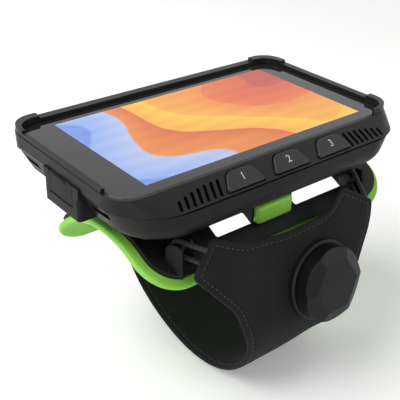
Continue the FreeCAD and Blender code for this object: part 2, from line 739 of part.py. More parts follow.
def make_port_cover():
    half = COVER_WIDTH / 2.0
    plate = box(BOSS_FACE, BOSS_FACE + COVER_THICK, PORT_Y - half, PORT_Y + half, COVER_AXIS_Z, COVER_TOP)
    knuckle = rod(COVER_THICK / 2, (COVER_AXIS_X, PORT_Y - half, COVER_AXIS_Z),
                  (COVER_AXIS_X, PORT_Y + half, COVER_AXIS_Z))
    plug = box(BOSS_FACE + COVER_THICK, BOSS_FACE + COVER_THICK + PLUG_DEPTH, PORT_Y - PLUG_WIDTH / 2,
               PORT_Y + PLUG_WIDTH / 2, PORT_Z - PLUG_HEIGHT / 2, PORT_Z + PLUG_HEIGHT / 2)
    grip = box(BOSS_FACE - 0.5, BOSS_FACE, PORT_Y - 3.5, PORT_Y + 3.5, COVER_TOP - 0.9, COVER_TOP)
    return fuse(plate, knuckle, plug, grip)


def make_port_connector():
    x0 = BOSS_FACE + COVER_THICK + PLUG_DEPTH + 0.4
    shell = box(x0, x0 + PORT_LENGTH, PORT_Y - PORT_WIDTH / 2 + 0.1, PORT_Y + PORT_WIDTH / 2 - 0.1,
                PORT_Z - PORT_HEIGHT / 2, PORT_Z + PORT_HEIGHT / 2)
    way = box(x0, x0 + PORT_LENGTH - 1.0, PORT_Y - PORT_WIDTH / 2 + 0.5, PORT_Y + PORT_WIDTH / 2 - 0.5,
              PORT_Z - PORT_HEIGHT / 2 + 0.4, PORT_Z + PORT_HEIGHT / 2 - 0.4)
    tongue = box(x0 + 1.0, x0 + PORT_LENGTH - 1.0, PORT_Y - 3.2, PORT_Y + 3.2, PORT_Z - 0.35, PORT_Z + 0.35)
    return fuse(shell.cut(way), tongue)


def make_charge_contacts():
    pads = []
    for x, y in contact_places():
        pads.append(rod(CONTACT_R - PILOT_GAP, (x, y, -BODY_DEPTH + 0.1), (x, y, -BODY_DEPTH + CONTACT_THICK)))
    return Part.makeCompound(pads)


def make_housing_screws():
    screws = []
    seat = -BODY_DEPTH + SCREW_HEAD_THICK + 1.0
    for x, y in screw_places():
        head = rod(SCREW_HEAD_R, (x, y, seat - SCREW_HEAD_THICK), (x, y, seat))
        drive = rod(0.8, (x, y, seat - SCREW_HEAD_THICK), (x, y, seat - SCREW_HEAD_THICK + 0.7))
        shank = rod(SCREW_R, (x, y, seat), (x, y, -TOP_PLATE - 0.9))
        screws.append(fuse(head.cut(drive), shank))
    return Part.makeCompound(screws)


# Mount. The saddle's arch is a part of a cylinder along X whose lowest radius is the forearm's
ARCH_Z = -FOREARM_R
PAD_R = FOREARM_R + PAD_THICK
PLATE_R = PAD_R + PLATE_THICK


def arch_z(radius, y):
    return ARCH_Z + sqrt(radius * radius - y * y)


def turned(shape, angle):
    """Turn a piece modelled at the top of the arch towards the rear (positive) or the front."""
    placed = shape.copy()
    placed.rotate(V(0, 0, ARCH_Z), V(1, 0, 0), -angle)
    return placed


def arch_shell(x0, x1, r0, r1, front, rear):
    """A sector of the arch between two radii and two angles from the top."""
    def spot(radius, angle):
        return V(x0, radius * sin(radians(angle)), ARCH_Z + radius * cos(radians(angle)))
    middle = (rear - front) / 2.0
    outer = Part.Arc(spot(r1, -front), spot(r1, middle), spot(r1, rear)).toShape()
    inner = Part.Arc(spot(r0, rear), spot(r0, middle), spot(r0, -front)).toShape()
    side_a = Part.LineSegment(spot(r1, rear), spot(r0, rear)).toShape()
    side_b = Part.LineSegment(spot(r0, -front), spot(r1, -front)).toShape()
    face = Part.Face(Part.Wire([outer, side_a, inner, side_b]))
    return face.extrude(V(x1 - x0, 0, 0))


def corner_cutter(x_side, along, angle, radius, r_middle):
    """What a round corner leaves off: a square less a cylinder, square to the arch at its centre."""
    sideways = 1 if along > 0 else -1
    onward = 1 if angle > 0 else -1
    centre_angle = angle - onward * degrees(asin(radius / r_middle))
    reach = radius + 12.0
    x0 = min(x_side - along * radius, x_side + along * 12.0)
    y0 = min(0.0, onward * reach)
    square = box(x0, x0 + reach, y0, y0 + reach, -14.0, 14.0)
    round_part = Part.makeCylinder(radius, 28.0, V(x_side - sideways * radius, 0, -14.0))
    cutter = square.cut(round_part)
    cutter.translate(V(0, 0, ARCH_Z + r_middle))
    return turned(cutter, centre_angle)


def saddle_sheet(rim, r0, r1, arch_depth):
    """The saddle's outline on the arch: four round lobes, with the front edge arched up between them."""
    x0 = PAD_LEFT + rim
    x1 = PAD_RIGHT - rim
    rim_angle = degrees(rim / PAD_R)
    front = PAD_FRONT_ANGLE - rim_angle
    rear = PAD_REAR_ANGLE - rim_angle
    sheet = arch_shell(x0, x1, r0, r1, front, rear)
    for x_side, along in ((x0, -1), (x1, 1)):
        for angle in (-front, rear):
            sheet = sheet.cut(corner_cutter(x_side, along, angle, PAD_CORNER_R - rim, (r0 + r1) / 2))
    middle = (x0 + x1) / 2.0
    half = PAD_ARCH_LENGTH / 2.0
    low = -PAD_R / 2.0
    points = [(middle - half, low), (middle + half, low), (middle + half, 0.0),
              (middle + half * 0.6, arch_depth), (middle - half * 0.6, arch_depth),
              (middle - half, 0.0)]
    face = Part.Face(rounded_polygon(points, [1.0, 1.0, 6.0, 12.0, 12.0, 6.0]))
    notch = face.extrude(V(0, 0, 60.0))
    notch.translate(V(0, 0, ARCH_Z + 20.0))
    notch = turned(notch, -front)
    return sheet.cut(notch)


def windows(ease, rear_edge):
    """The two slots beside the latch, cut straight down through the arch."""
    tools = []
    for x0, x1 in (WINDOW_LEFT, WINDOW_RIGHT):
        tools.append(slab(x0 - ease, x1 + ease, WINDOW_FRONT, rear_edge, 1.0, -20.0, 20.0))
    return tools


def latch_relief():
    """Room for the latch tab's lower edge when it is pressed."""
    half = LATCH_WIDTH / 2 + LATCH_GAP + 1.0
    return box(LATCH_X - half, LATCH_X + half, LATCH_FRONT - 4.0,
               LATCH_FRONT + LATCH_DEEP + LATCH_TRAVEL + LATCH_GAP, LATCH_BOTTOM - LATCH_GAP, 20.0)


def make_saddle_pad():
    pad = saddle_sheet(0.0, FOREARM_R, PAD_R, PAD_ARCH_DEPTH)
    pad = cut(pad, *windows(WINDOW_PAD_EASE, WINDOW_PAD_REAR))
    for x in (PAD_LEFT + PAD_VENT_INSET, PAD_RIGHT - PAD_VENT_INSET):
        vent = slab(x - PAD_VENT_LENGTH / 2, x + PAD_VENT_LENGTH / 2, -PAD_VENT_WIDTH / 2,
                    PAD_VENT_WIDTH / 2, PAD_VENT_WIDTH / 2 - 0.05, ARCH_Z + FOREARM_R - 4.0,
                    ARCH_Z + PAD_R + 4.0)
        pad = cut(pad, turned(vent, PAD_VENT_ANGLE))
    return pad


def base_screw_places():
    x = BASE_LENGTH / 2 - BASE_SCREW_INSET_X
    y = BASE_WIDTH / 2 - BASE_SCREW_INSET_Y
    return [(sx * x, sy * y) for sx in (-1, 1) for sy in (-1, 1)]


def rivet_places():
    return [(CLAMP_X + i * RIVET_PITCH) for i in (-1, 0, 1)]


def make_saddle_plate():
    plate = saddle_sheet(PAD_RIM, PAD_R, PLATE_R, PLATE_ARCH_DEPTH)
    plate = cut(plate, latch_relief(), *windows(0.0, WINDOW_REAR))
    for x, y in base_screw_places():
        plate = plate.cut(rod(MOUNT_SCREW_R + PILOT_GAP, (x, y, -20), (x, y, 20)))
    for x in rivet_places():
        plate = plate.cut(turned(rod(RIVET_R + PILOT_GAP, (x, 0, 0), (x, 0, 20)), CLAMP_ANGLE))
    return plate


def rail(x, grow, y0, y1, z0):
    """A T rail along Y. With grow it is the channel that the rail runs in."""
    neck = box(x - RAIL_NECK / 2 - grow, x + RAIL_NECK / 2 + grow, y0, y1, z0, BASE_TOP + RAIL_NECK_TALL)
    head = box(x - RAIL_HEAD / 2 - grow, x + RAIL_HEAD / 2 + grow, y0, y1,
               BASE_TOP + RAIL_NECK_TALL - grow, BASE_TOP + RAIL_NECK_TALL + RAIL_HEAD_TALL + grow)
    return neck.fuse(head)


def make_mount_base():
    """Block on the saddle with the rails, the latch's tower and the thin shroud round the latch's tab."""
    half_y = BASE_WIDTH / 2
    tab_half = LATCH_WIDTH / 2
    tab_back = LATCH_FRONT + LATCH_DEEP + LATCH_TRAVEL + LATCH_GAP
    reach = tab_half + LATCH_GAP
    block = slab(-BASE_LENGTH / 2, BASE_LENGTH / 2, -half_y, half_y, 5.0, -6.0, BASE_TOP)
    tower = box(LATCH_X - TOWER_WIDTH / 2, LATCH_X + TOWER_WIDTH / 2, tab_back, -half_y + 2.0, -6.0, BASE_TOP)
    shroud = box(LATCH_X - reach - SHROUD_WALL, LATCH_X + reach + SHROUD_WALL, SHROUD_FRONT, -half_y + 1.0,
                 SHROUD_BOTTOM, SHROUD_TOP)
    under_dock = box(-BASE_LENGTH, BASE_LENGTH, -half_y - RAIL_GAP * 2, half_y, BASE_TOP, BASE_TOP + DOCK_THICK)
    tab_room = box(LATCH_X - reach, LATCH_X + reach, SHROUD_FRONT, tab_back, SHROUD_BOTTOM,
                   LATCH_TOP + LATCH_GAP)
    body = fuse(block, tower, cut(shroud, under_dock))
    body = body.cut(rod(PLATE_R, (-BASE_LENGTH, 0, ARCH_Z), (BASE_LENGTH, 0, ARCH_Z)))
    for x in (-RAIL_X, RAIL_X):
        body = fuse(body, rail(x, 0, -half_y + 1.0, half_y - 1.0, BASE_TOP - 0.5))
    stem_room = box(LATCH_X - STEM_WIDTH / 2 - RAIL_GAP, LATCH_X + STEM_WIDTH / 2 + RAIL_GAP, SHROUD_FRONT,
                    CHANNEL_END, STEM_BOTTOM - RAIL_GAP, STEM_TOP + RAIL_GAP)
    nose_room = box(LATCH_X - NOSE_WIDTH / 2 - RAIL_GAP, LATCH_X + NOSE_WIDTH / 2 + RAIL_GAP,
                    NOSE_FRONT - LATCH_GAP, NOSE_FRONT + NOSE_LENGTH + LATCH_TRAVEL + LATCH_GAP, STEM_TOP, 20.0)
    body = cut(body, tab_room, stem_room, nose_room)
    for x, y in base_screw_places():
        body = cut(body, rod(MOUNT_SCREW_R + PILOT_GAP, (x, y, -6), (x, y, 20)),
                   rod(MOUNT_HEAD_R + INNER_GAP, (x, y, BASE_TOP - MOUNT_HEAD_THICK), (x, y, 20)))
    return body


def make_latch():
    half = LATCH_WIDTH / 2
    tab = box(LATCH_X - half, LATCH_X + half, LATCH_FRONT, LATCH_FRONT + LATCH_DEEP, LATCH_BOTTOM, LATCH_TOP)
    tab = tab.makeFillet(LATCH_ROUND, [edge for edge in tab.Edges
                                       if edge.BoundBox.YMax < LATCH_FRONT + LATCH_DEEP - 1e-3
                                       or edge.BoundBox.YLength > LATCH_DEEP - 1e-3])
    stem = box(LATCH_X - STEM_WIDTH / 2, LATCH_X + STEM_WIDTH / 2, LATCH_FRONT + LATCH_DEEP - 1.0, STEM_END,
               STEM_BOTTOM, STEM_TOP)
    nose = box(LATCH_X - NOSE_WIDTH / 2, LATCH_X + NOSE_WIDTH / 2, NOSE_FRONT, NOSE_FRONT + NOSE_LENGTH,
               STEM_TOP - 0.5, NOSE_TOP)
    return fuse(tab, stem, nose)


def make_latch_spring():
    length = CHANNEL_END - STEM_END - 2 * INNER_GAP
    pitch = (length - 2 * SPRING_WIRE_R) / SPRING_TURNS
    helix = Part.makeHelix(pitch, pitch * SPRING_TURNS, SPRING_COIL_R)
    section = Part.Wire(Part.makeCircle(SPRING_WIRE_R, V(SPRING_COIL_R, 0, 0), V(0, 1, 0)))
    coil = Part.Wire(helix.Edges).makePipeShell([section], True, True)
    coil.rotate(V(0, 0, 0), V(1, 0, 0), -90)
    coil.translate(V(LATCH_X, STEM_END + INNER_GAP + SPRING_WIRE_R, (STEM_BOTTOM + STEM_TOP) / 2.0))
    return coil


def make_base_screws():
    screws = []
    for x, y in base_screw_places():
        seat = BASE_TOP - MOUNT_HEAD_THICK
        head = rod(MOUNT_HEAD_R, (x, y, seat), (x, y, BASE_TOP - INNER_GAP))
        drive = rod(1.0, (x, y, seat + 0.5), (x, y, BASE_TOP))
        shank = rod(MOUNT_SCREW_R, (x, y, arch_z(PAD_R, y) + 0.6), (x, y, seat))
        screws.append(fuse(head.cut(drive), shank))
    return Part.makeCompound(screws)


def make_dock_plate():
    plate = slab(-DOCK_LENGTH / 2, DOCK_LENGTH / 2, -DOCK_WIDTH / 2, DOCK_WIDTH / 2, 2.0, DOCK_BOTTOM, DOCK_TOP)
    for x in (-RAIL_X, RAIL_X):
        plate = plate.cut(rail(x, RAIL_GAP, -DOCK_WIDTH, DOCK_WIDTH, DOCK_BOTTOM - 1.0))
    groove = box(LATCH_X - NOSE_WIDTH / 2 - LATCH_GAP, LATCH_X + NOSE_WIDTH / 2 + LATCH_GAP, -DOCK_WIDTH,
                 NOSE_FRONT + NOSE_LENGTH + LATCH_TRAVEL + LATCH_GAP * 2, DOCK_BOTTOM - 1.0,
                 NOSE_TOP + LATCH_GAP)
    plate = plate.cut(groove)
    for x, y in dock_screw_places():
        gx = x + SEAT_TO_DISPLAY_X
        gy = y + SEAT_TO_DISPLAY_Y
        plate = cut(plate, rod(MOUNT_SCREW_R + PILOT_GAP, (gx, gy, 0), (gx, gy, 20)),
                    rod(MOUNT_HEAD_R + INNER_GAP, (gx, gy, 0), (gx, gy, DOCK_BOTTOM + MOUNT_HEAD_THICK)))
    return plate


def make_dock_screws():
    screws = []
    for x, y in dock_screw_places():
        gx = x + SEAT_TO_DISPLAY_X
        gy = y + SEAT_TO_DISPLAY_Y
        seat = DOCK_BOTTOM + MOUNT_HEAD_THICK
        head = rod(MOUNT_HEAD_R, (gx, gy, DOCK_BOTTOM + INNER_GAP), (gx, gy, seat))
        drive = rod(1.0, (gx, gy, DOCK_BOTTOM), (gx, gy, seat - 0.5))
        shank = rod(MOUNT_SCREW_R, (gx, gy, seat), (gx, gy, RAISED_FLOOR + SEAT_TO_GLASS_Z - 0.2))
        screws.append(fuse(head.cut(drive), shank))
    return Part.makeCompound(screws)


# Lace hooks. Each stands on the front flap of the saddle plate and is turned towards the panel
HOOK_Y = -(PLATE_R + HOOK_HEIGHT) * sin(radians(HOOK_ANGLE))
HOOK_Z = ARCH_Z + (PLATE_R + HOOK_HEIGHT) * cos(radians(HOOK_ANGLE))


def on_hook(shape, hook, dip=0.0):
    placed = shape.copy()
    placed.rotate(V(0, 0, 0), V(1, 0, 0), dip)
    placed.rotate(V(0, 0, 0), V(0, 0, 1), hook["turn"])
    placed.translate(V(hook["x"], HOOK_Y, HOOK_Z))
    return placed


def make_hook(hook):
    """A post between two round flanges, on a foot that follows the plate."""
    half = POST_LENGTH / 2.0
    post = rod(POST_R, (-half, 0, 0), (half, 0, 0))
    parts = []
    for side in (-1, 1):
        near = side * half
        far = side * (half + FLANGE_THICK)
        parts.append(rod(FLANGE_R, (near, 0, 0), (far, 0, 0)))
        parts.append(box(min(near, far), max(near, far), -FLANGE_R, FLANGE_R, -14.0, 0.0))
    foot = box(-half - FLANGE_THICK, half + FLANGE_THICK, 0.0, FLANGE_R, -14.0, -POST_R - 2 * LACE_R - 1.0)
    placed = on_hook(fuse(post, *parts, foot), hook)
    return placed.cut(rod(PLATE_R, (-200, 0, ARCH_Z), (200, 0, ARCH_Z)))


def make_lace(hook):
    """A loop of lace: out of the panel, round the hook's post and back into the panel."""
    reach = POST_R + LACE_R + LACE_GAP
    turn = radians(hook["turn"])
    dip = radians(hook["dip"])
    forward = V(sin(turn) * cos(dip), -cos(turn) * cos(dip), -sin(dip))
    ends = []
    for side in (1, -1):
        across = V(sin(turn) * sin(dip), -cos(turn) * sin(dip), cos(dip)) * (reach * side)
        start = V(hook["x"], HOOK_Y, HOOK_Z) + across
        ends.append((wall_y(start.z) - start.y) / (WALL_LEAN * forward.z - forward.y))
    upper = Part.LineSegment(V(0, ends[0], reach), V(0, 0, reach)).toShape()
    turned_back = Part.Arc(V(0, 0, reach), V(0, reach, 0), V(0, 0, -reach)).toShape()
    lower = Part.LineSegment(V(0, 0, -reach), V(0, ends[1], -reach)).toShape()
    path = Part.Wire([upper, turned_back, lower])
    section = Part.Wire(Part.makeCircle(LACE_R, V(0, ends[0], reach), V(0, 1, 0)))
    return on_hook(path.makePipeShell([section], True, False), hook, hook["dip"])


# Cuff. Its profile is a chain of tangent arcs, so the two faces are the same chain at other radii
def strap_chain(offset):
    """Edges of the profile at a distance outside the middle surface, from the rear end to the front."""
    def step(point, heading, radius, bend):
        centre = (point[0] - radius * sin(heading), point[1] - radius * cos(heading))
        def spot(turn):
            angle = heading + turn
            reach = radius + offset
            return V(0, centre[0] + reach * sin(angle), centre[1] + reach * cos(angle))
        arc = Part.Arc(spot(0), spot(bend / 2), spot(bend)).toShape()
        angle = heading + bend
        return arc, (centre[0] + radius * sin(angle), centre[1] + radius * cos(angle)), angle
    radius = PLATE_R + STRAP_EASE + STRAP_THICK / 2
    heading = radians(STRAP_START_ANGLE)
    point = (radius * sin(heading), ARCH_Z + radius * cos(heading))
    bends = [(radius, STRAP_LEAVE_ANGLE - STRAP_START_ANGLE), (STRAP_REAR_BEND_R, STRAP_REAR_BEND),
             (STRAP_UNDER_R, STRAP_UNDER_BEND), (STRAP_FRONT_BEND_R, STRAP_FRONT_BEND)]
    edges = []
    for bend_r, bend in bends:
        arc, point, heading = step(point, heading, bend_r, radians(bend))
        edges.append(arc)
    out = (sin(heading), cos(heading))
    start = V(0, point[0] + offset * out[0], point[1] + offset * out[1])
    rise = V(0, cos(heading), -sin(heading)) * STRAP_FRONT_RISE
    edges.append(Part.LineSegment(start, start + rise).toShape())
    return edges, point, heading


WALL_EDGES, WALL_FOOT, WALL_HEADING = strap_chain(0.0)
WALL_UP = V(0, cos(WALL_HEADING), -sin(WALL_HEADING))
WALL_OUT = V(0, sin(WALL_HEADING), cos(WALL_HEADING))
WALL_LEAN = WALL_UP.y / WALL_UP.z


def wall_y(z):
    """Y of the front wall's middle surface at a height."""
    return WALL_FOOT[0] + (z - WALL_FOOT[1]) * WALL_LEAN


CLAMP_X = -7.0


def strap_band(x0, x1):
    outer, foot, heading = strap_chain(STRAP_THICK / 2)
    inner, foot, heading = strap_chain(-STRAP_THICK / 2)
    rear_end = Part.LineSegment(inner[0].valueAt(inner[0].FirstParameter),
                                outer[0].valueAt(outer[0].FirstParameter)).toShape()
    front_end = Part.LineSegment(outer[-1].Vertexes[-1].Point, inner[-1].Vertexes[-1].Point).toShape()
    wire = Part.Wire(Part.__sortEdges__(outer + [front_end] + inner + [rear_end]))
    band = Part.Face(wire).extrude(V(x1 - x0, 0, 0))
    band.translate(V(x0, 0, 0))
    return band


# The strap's lowest point, where its front half hinges
STRAP_LOW_Z = min(edge.BoundBox.ZMin for edge in WALL_EDGES)
STRAP_LOW_Y = [edge for edge in WALL_EDGES if edge.BoundBox.ZMin < STRAP_LOW_Z + 1e-3][0].Curve.Center.y

# Outlines of the cuff seen from the front: (x, z) corners with a rounding radius each
FRONT_OUTLINE = [
    (-43.5, 9.5, 2.5), (-29.0, 2.2, 20.0), (-6.0, -0.8, 60.0), (16.5, 0.2, 12.0), (25.0, 8.5, 2.5),
    (42.5, -2.2, 3.0), (42.0, -12.0, 30.0), (27.5, -38.0, 30.0), (24.5, -68.0, 10.0),
    (23.0, -80.0, 1.0), (-27.0, -80.0, 1.0), (-27.5, -56.0, 30.0), (-29.8, -41.0, 20.0),
    (-35.0, -24.5, 20.0), (-53.5, -3.0, 2.5),
]
REAR_OUTLINE = [
    (-20.0, 4.0, 3.0), (8.0, 4.0, 3.0), (13.0, -25.0, 30.0), (23.0, -62.0, 20.0), (23.0, -80.0, 1.0),
    (-27.0, -80.0, 1.0), (-27.0, -30.0, 30.0),
]


def outline_prism(outline, y0, y1):
    points = [(x, z) for x, z, r in outline]
    face = Part.Face(rounded_polygon(points, [r for x, z, r in outline]))
    prism = face.extrude(V(0, 0, y1 - y0))
    prism.rotate(V(0, 0, 0), V(1, 0, 0), 90)
    prism.translate(V(0, y1, 0))
    return prism


def make_strap_front():
    prism = outline_prism(FRONT_OUTLINE, -80.0, STRAP_LOW_Y - STRAP_SPLIT_GAP / 2)
    return cut(strap_band(-80.0, 80.0).common(prism), make_lace(HOOK_LEFT), make_lace(HOOK_RIGHT))


def make_strap_rear():
    prism = outline_prism(REAR_OUTLINE, STRAP_LOW_Y + STRAP_SPLIT_GAP / 2, 80.0)
    strap = strap_band(-80.0, 80.0).common(prism)
    for x in rivet_places():
        strap = strap.cut(turned(rod(RIVET_R + PILOT_GAP, (x, 0, 0), (x, 0, 20)), CLAMP_ANGLE))
    return strap


CLAMP_R = PLATE_R + STRAP_EASE + STRAP_THICK + STRAP_EASE


def make_strap_clamp():
    """The bar that holds the strap's rear end on the saddle plate."""
    half = degrees(CLAMP_WIDTH / 2.0 / CLAMP_R)
    bar = arch_shell(CLAMP_X - CLAMP_LENGTH / 2, CLAMP_X + CLAMP_LENGTH / 2, CLAMP_R,
                     CLAMP_R + CLAMP_THICK, -(CLAMP_ANGLE - half), CLAMP_ANGLE + half)
    for x in rivet_places():
        bar = bar.cut(turned(rod(RIVET_R + PILOT_GAP, (x, 0, 0), (x, 0, 20)), CLAMP_ANGLE))
    return bar


def make_clamp_rivets():
    rivets = []
    top = ARCH_Z + CLAMP_R + CLAMP_THICK + 0.1
    for x in rivet_places():
        shank = rod(RIVET_R, (x, 0, ARCH_Z + PAD_R + 0.1), (x, 0, top))
        head = rod(RIVET_R * 1.8, (x, 0, top), (x, 0, top + 0.8))
        rivets.append(turned(fuse(shank, head), CLAMP_ANGLE))
    return Part.makeCompound(rivets)


# Dial. It is modelled upright and laid against the front wall, facing out
def on_dial(shape):
    placed = shape.copy()
    placed.rotate(V(0, 0, 0), V(1, 0, 0), degrees(atan2(-WALL_OUT.y, WALL_OUT.z)))
    middle = V(DIAL_X, wall_y(DIAL_Z), DIAL_Z) + WALL_OUT * (STRAP_THICK / 2)
    placed.translate(middle)
    return placed


def ring(r1, r0, z0, z1):
    return rod(r1, (0, 0, z0), (0, 0, z1)).cut(rod(r0, (0, 0, z0), (0, 0, z1)))


def make_dial_base():
    """Round foot that fits the strap's curve, with a round seat for the cartridge."""
    foot = rod(DIAL_BASE_R, (0, 0, -5.0), (0, 0, DIAL_BASE_TALL))
    rim = [edge for edge in foot.Edges if edge.BoundBox.ZMin > DIAL_BASE_TALL - 1e-4]
    foot = foot.makeChamfer(0.8, rim)
    seat = rod(DIAL_WALL_R + CARTRIDGE_GAP, (0, 0, CARTRIDGE_SEAT), (0, 0, DIAL_BASE_TALL))
    bore = rod(AXLE_R + AXLE_GAP, (0, 0, AXLE_FLOOR - AXLE_GAP), (0, 0, DIAL_BASE_TALL))
    base = on_dial(cut(foot, seat, bore))
    outer, point, heading = strap_chain(STRAP_THICK / 2)
    ends = [outer[-1].Vertexes[-1].Point, outer[0].valueAt(outer[0].FirstParameter)]
    wire = Part.Wire(Part.__sortEdges__(outer + [Part.LineSegment(ends[0], ends[1]).toShape()]))
    inside = Part.Face(wire).extrude(V(160.0, 0, 0))
    inside.translate(V(-80.0, 0, 0))
    return base.cut(inside)


def make_dial_cartridge():
    """Cup that clips into the foot: a wall round the spool, and a hub for spool and axle."""
    floor = rod(DIAL_WALL_R, (0, 0, CARTRIDGE_SEAT), (0, 0, DIAL_BASE_TALL))
    wall = ring(DIAL_WALL_R, DIAL_WALL_R - DIAL_WALL, DIAL_BASE_TALL - 0.5, DIAL_WALL_TOP)
    hub = rod(HUB_R, (0, 0, DIAL_BASE_TALL - 0.5), (0, 0, DIAL_WALL_TOP))
    bore = rod(AXLE_R + AXLE_GAP, (0, 0, 0), (0, 0, DIAL_WALL_TOP))
    return on_dial(fuse(floor, wall, hub).cut(bore))


def make_dial_spool():
    low = DIAL_BASE_TALL + SPOOL_GAP
    high = DIAL_WALL_TOP - SPOOL_GAP
    core = rod(SPOOL_CORE_R, (0, 0, low), (0, 0, high))
    flanges = [rod(SPOOL_R, (0, 0, low), (0, 0, low + SPOOL_FLANGE)),
               rod(SPOOL_R, (0, 0, high - SPOOL_FLANGE), (0, 0, high))]
    bore = rod(HUB_R + AXLE_GAP, (0, 0, low), (0, 0, high))
    return on_dial(fuse(core, *flanges).cut(bore))


def hexagon(radius, z):
    points = [V(radius * cos(radians(60 * i)), radius * sin(radians(60 * i)), z) for i in range(7)]
    return Part.makePolygon(points)


def make_dial_knob():
    """Cap over the base's wall, round at the foot, with six sloped facets up to a six-sided top."""
    body = rod(KNOB_R, (0, 0, KNOB_BOTTOM), (0, 0, KNOB_TOP))
    spread = (KNOB_TOP - KNOB_SHOULDER) * 1.6
    facets = ruled(hexagon(KNOB_HEX_TOP_R + spread + KNOB_R, KNOB_BOTTOM - 1.6), hexagon(KNOB_HEX_TOP_R, KNOB_TOP))
    low = rod(KNOB_R, (0, 0, KNOB_BOTTOM), (0, 0, KNOB_SHOULDER))
    body = fuse(body.common(facets), low)
    hollow = rod(DIAL_WALL_R + KNOB_GAP, (0, 0, KNOB_BOTTOM), (0, 0, KNOB_TOP - KNOB_ROOF))
    socket = rod(AXLE_R + AXLE_GAP, (0, 0, KNOB_BOTTOM), (0, 0, KNOB_TOP - KNOB_ROOF + AXLE_SOCKET))
    return on_dial(cut(body, hollow, socket))


def make_dial_axle():
    """It slides in the hub when the dial is pulled, and the knob turns on its outer end."""
    roof = KNOB_TOP - KNOB_ROOF
    shaft = rod(AXLE_R, (0, 0, AXLE_FLOOR), (0, 0, roof + AXLE_SOCKET - AXLE_GAP))
    collar = rod(AXLE_COLLAR_R, (0, 0, roof - AXLE_GAP - AXLE_COLLAR), (0, 0, roof - AXLE_GAP))
    return on_dial(fuse(shaft, collar))


def build():
    save("upper_housing", on_terminal(make_upper_housing()))
    save("lower_housing", on_terminal(make_lower_housing()))
    save("housing_seal", on_terminal(make_housing_seal()))
    save("cover_glass", on_terminal(make_cover_glass()))
    save("display_panel", on_terminal(make_display_panel()))
    save("mid_frame", on_terminal(make_mid_frame()))
    save("main_board", on_terminal(make_main_board()))
    save("shield_can", on_terminal(make_shield_can()))
    save("battery_pack", on_terminal(make_battery_pack()))
    save("speaker_left", on_terminal(make_speaker(VENT_LEFT_X)))
    save("speaker_right", on_terminal(make_speaker(VENT_RIGHT_X)))
    for i in range(KEY_COUNT):
        save("key_" + str(i + 1), on_terminal(make_key(i)))
    save("keypad_board", on_terminal(make_keypad_board()))
    save("port_cover", on_terminal(make_port_cover()))
    save("port_connector", on_terminal(make_port_connector()))
    save("charge_contacts", on_terminal(make_charge_contacts()))
    save("housing_screws", on_terminal(make_housing_screws()))
    save("dock_plate", make_dock_plate())
    save("dock_screws", make_dock_screws())
    save("mount_base", make_mount_base())
    save("latch", make_latch())
    save("latch_spring", make_latch_spring())
    save("base_screws", make_base_screws())
    save("saddle_plate", make_saddle_plate())
    save("saddle_pad", make_saddle_pad())
    save("hook_left", make_hook(HOOK_LEFT))
    save("hook_right", make_hook(HOOK_RIGHT))
    save("lace_left", make_lace(HOOK_LEFT))
    save("lace_right", make_lace(HOOK_RIGHT))
    save("strap_front", make_strap_front())
    save("strap_rear", make_strap_rear())
    save("strap_clamp", make_strap_clamp())
    save("clamp_rivets", make_clamp_rivets())
    save("dial_base", make_dial_base())
    save("dial_cartridge", make_dial_cartridge())
    save("dial_spool", make_dial_spool())
    save("dial_axle", make_dial_axle())
    save("dial_knob", make_dial_knob())
    print("key direction", FACE_OUT)
    print("port hinge", COVER_AXIS_X + SEAT_TO_DISPLAY_X, COVER_AXIS_Z + SEAT_TO_GLASS_Z)
    print("cuff hinge", STRAP_LOW_Y, STRAP_LOW_Z)
    print("dial", DIAL_X, wall_y(DIAL_Z), DIAL_Z, WALL_OUT)


build()
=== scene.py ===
from math import atan2, ceil, cos, pi, radians, sin, tan
import bmesh
import bpy
import numpy as np
from mathutils import Matrix, Vector


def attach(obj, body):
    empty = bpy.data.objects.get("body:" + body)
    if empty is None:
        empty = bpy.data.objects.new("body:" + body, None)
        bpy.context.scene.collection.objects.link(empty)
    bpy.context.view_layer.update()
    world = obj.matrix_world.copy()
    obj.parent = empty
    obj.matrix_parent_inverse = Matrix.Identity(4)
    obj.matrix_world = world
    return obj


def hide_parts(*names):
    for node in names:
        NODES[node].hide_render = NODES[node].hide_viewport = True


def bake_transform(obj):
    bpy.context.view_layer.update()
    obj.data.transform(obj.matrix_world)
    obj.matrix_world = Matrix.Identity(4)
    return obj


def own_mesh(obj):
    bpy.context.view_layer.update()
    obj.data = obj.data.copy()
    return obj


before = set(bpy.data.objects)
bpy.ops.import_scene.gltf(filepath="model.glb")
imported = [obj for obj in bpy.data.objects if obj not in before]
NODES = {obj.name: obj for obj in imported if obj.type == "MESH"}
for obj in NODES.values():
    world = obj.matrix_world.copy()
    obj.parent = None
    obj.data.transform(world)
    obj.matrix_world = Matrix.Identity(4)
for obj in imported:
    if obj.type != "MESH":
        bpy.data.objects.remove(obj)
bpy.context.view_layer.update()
MM = 0.001

# Lengths are in millimetres, unless a comment says otherwise.
# Where the display's centre on the glass is, and the size of its lit area
DISPLAY = (-5.0, 9.0, 29.3)
LIT_AREA = (110.7, 62.3)

# The sloped face with the keys: where it starts under the lip, and which way it looks
FACE_TOP_Y = -29.0
FACE_TOP_Z = 29.3
FACE_TILT = radians(37.09)
KEY_X = (-25.5, -2.2, 21.1)
KEY_PROUD = 0.9

# The saddle's arch and the pad's plan on it. The pad's front and rear are degrees from the top of the arch
ARCH_Z = -43.0
PAD_INNER_R = 43.0
PAD_THICK = 3.0
PAD_MIDDLE_R = PAD_INNER_R + PAD_THICK / 2.0
PAD_EDGE_R = 1.25
PAD_PITCH = 3.0
PAD_X = (-65.0, 66.5)
PAD_FRONT = 47.5
PAD_REAR = 68.0
PAD_CORNER_R = 17.0

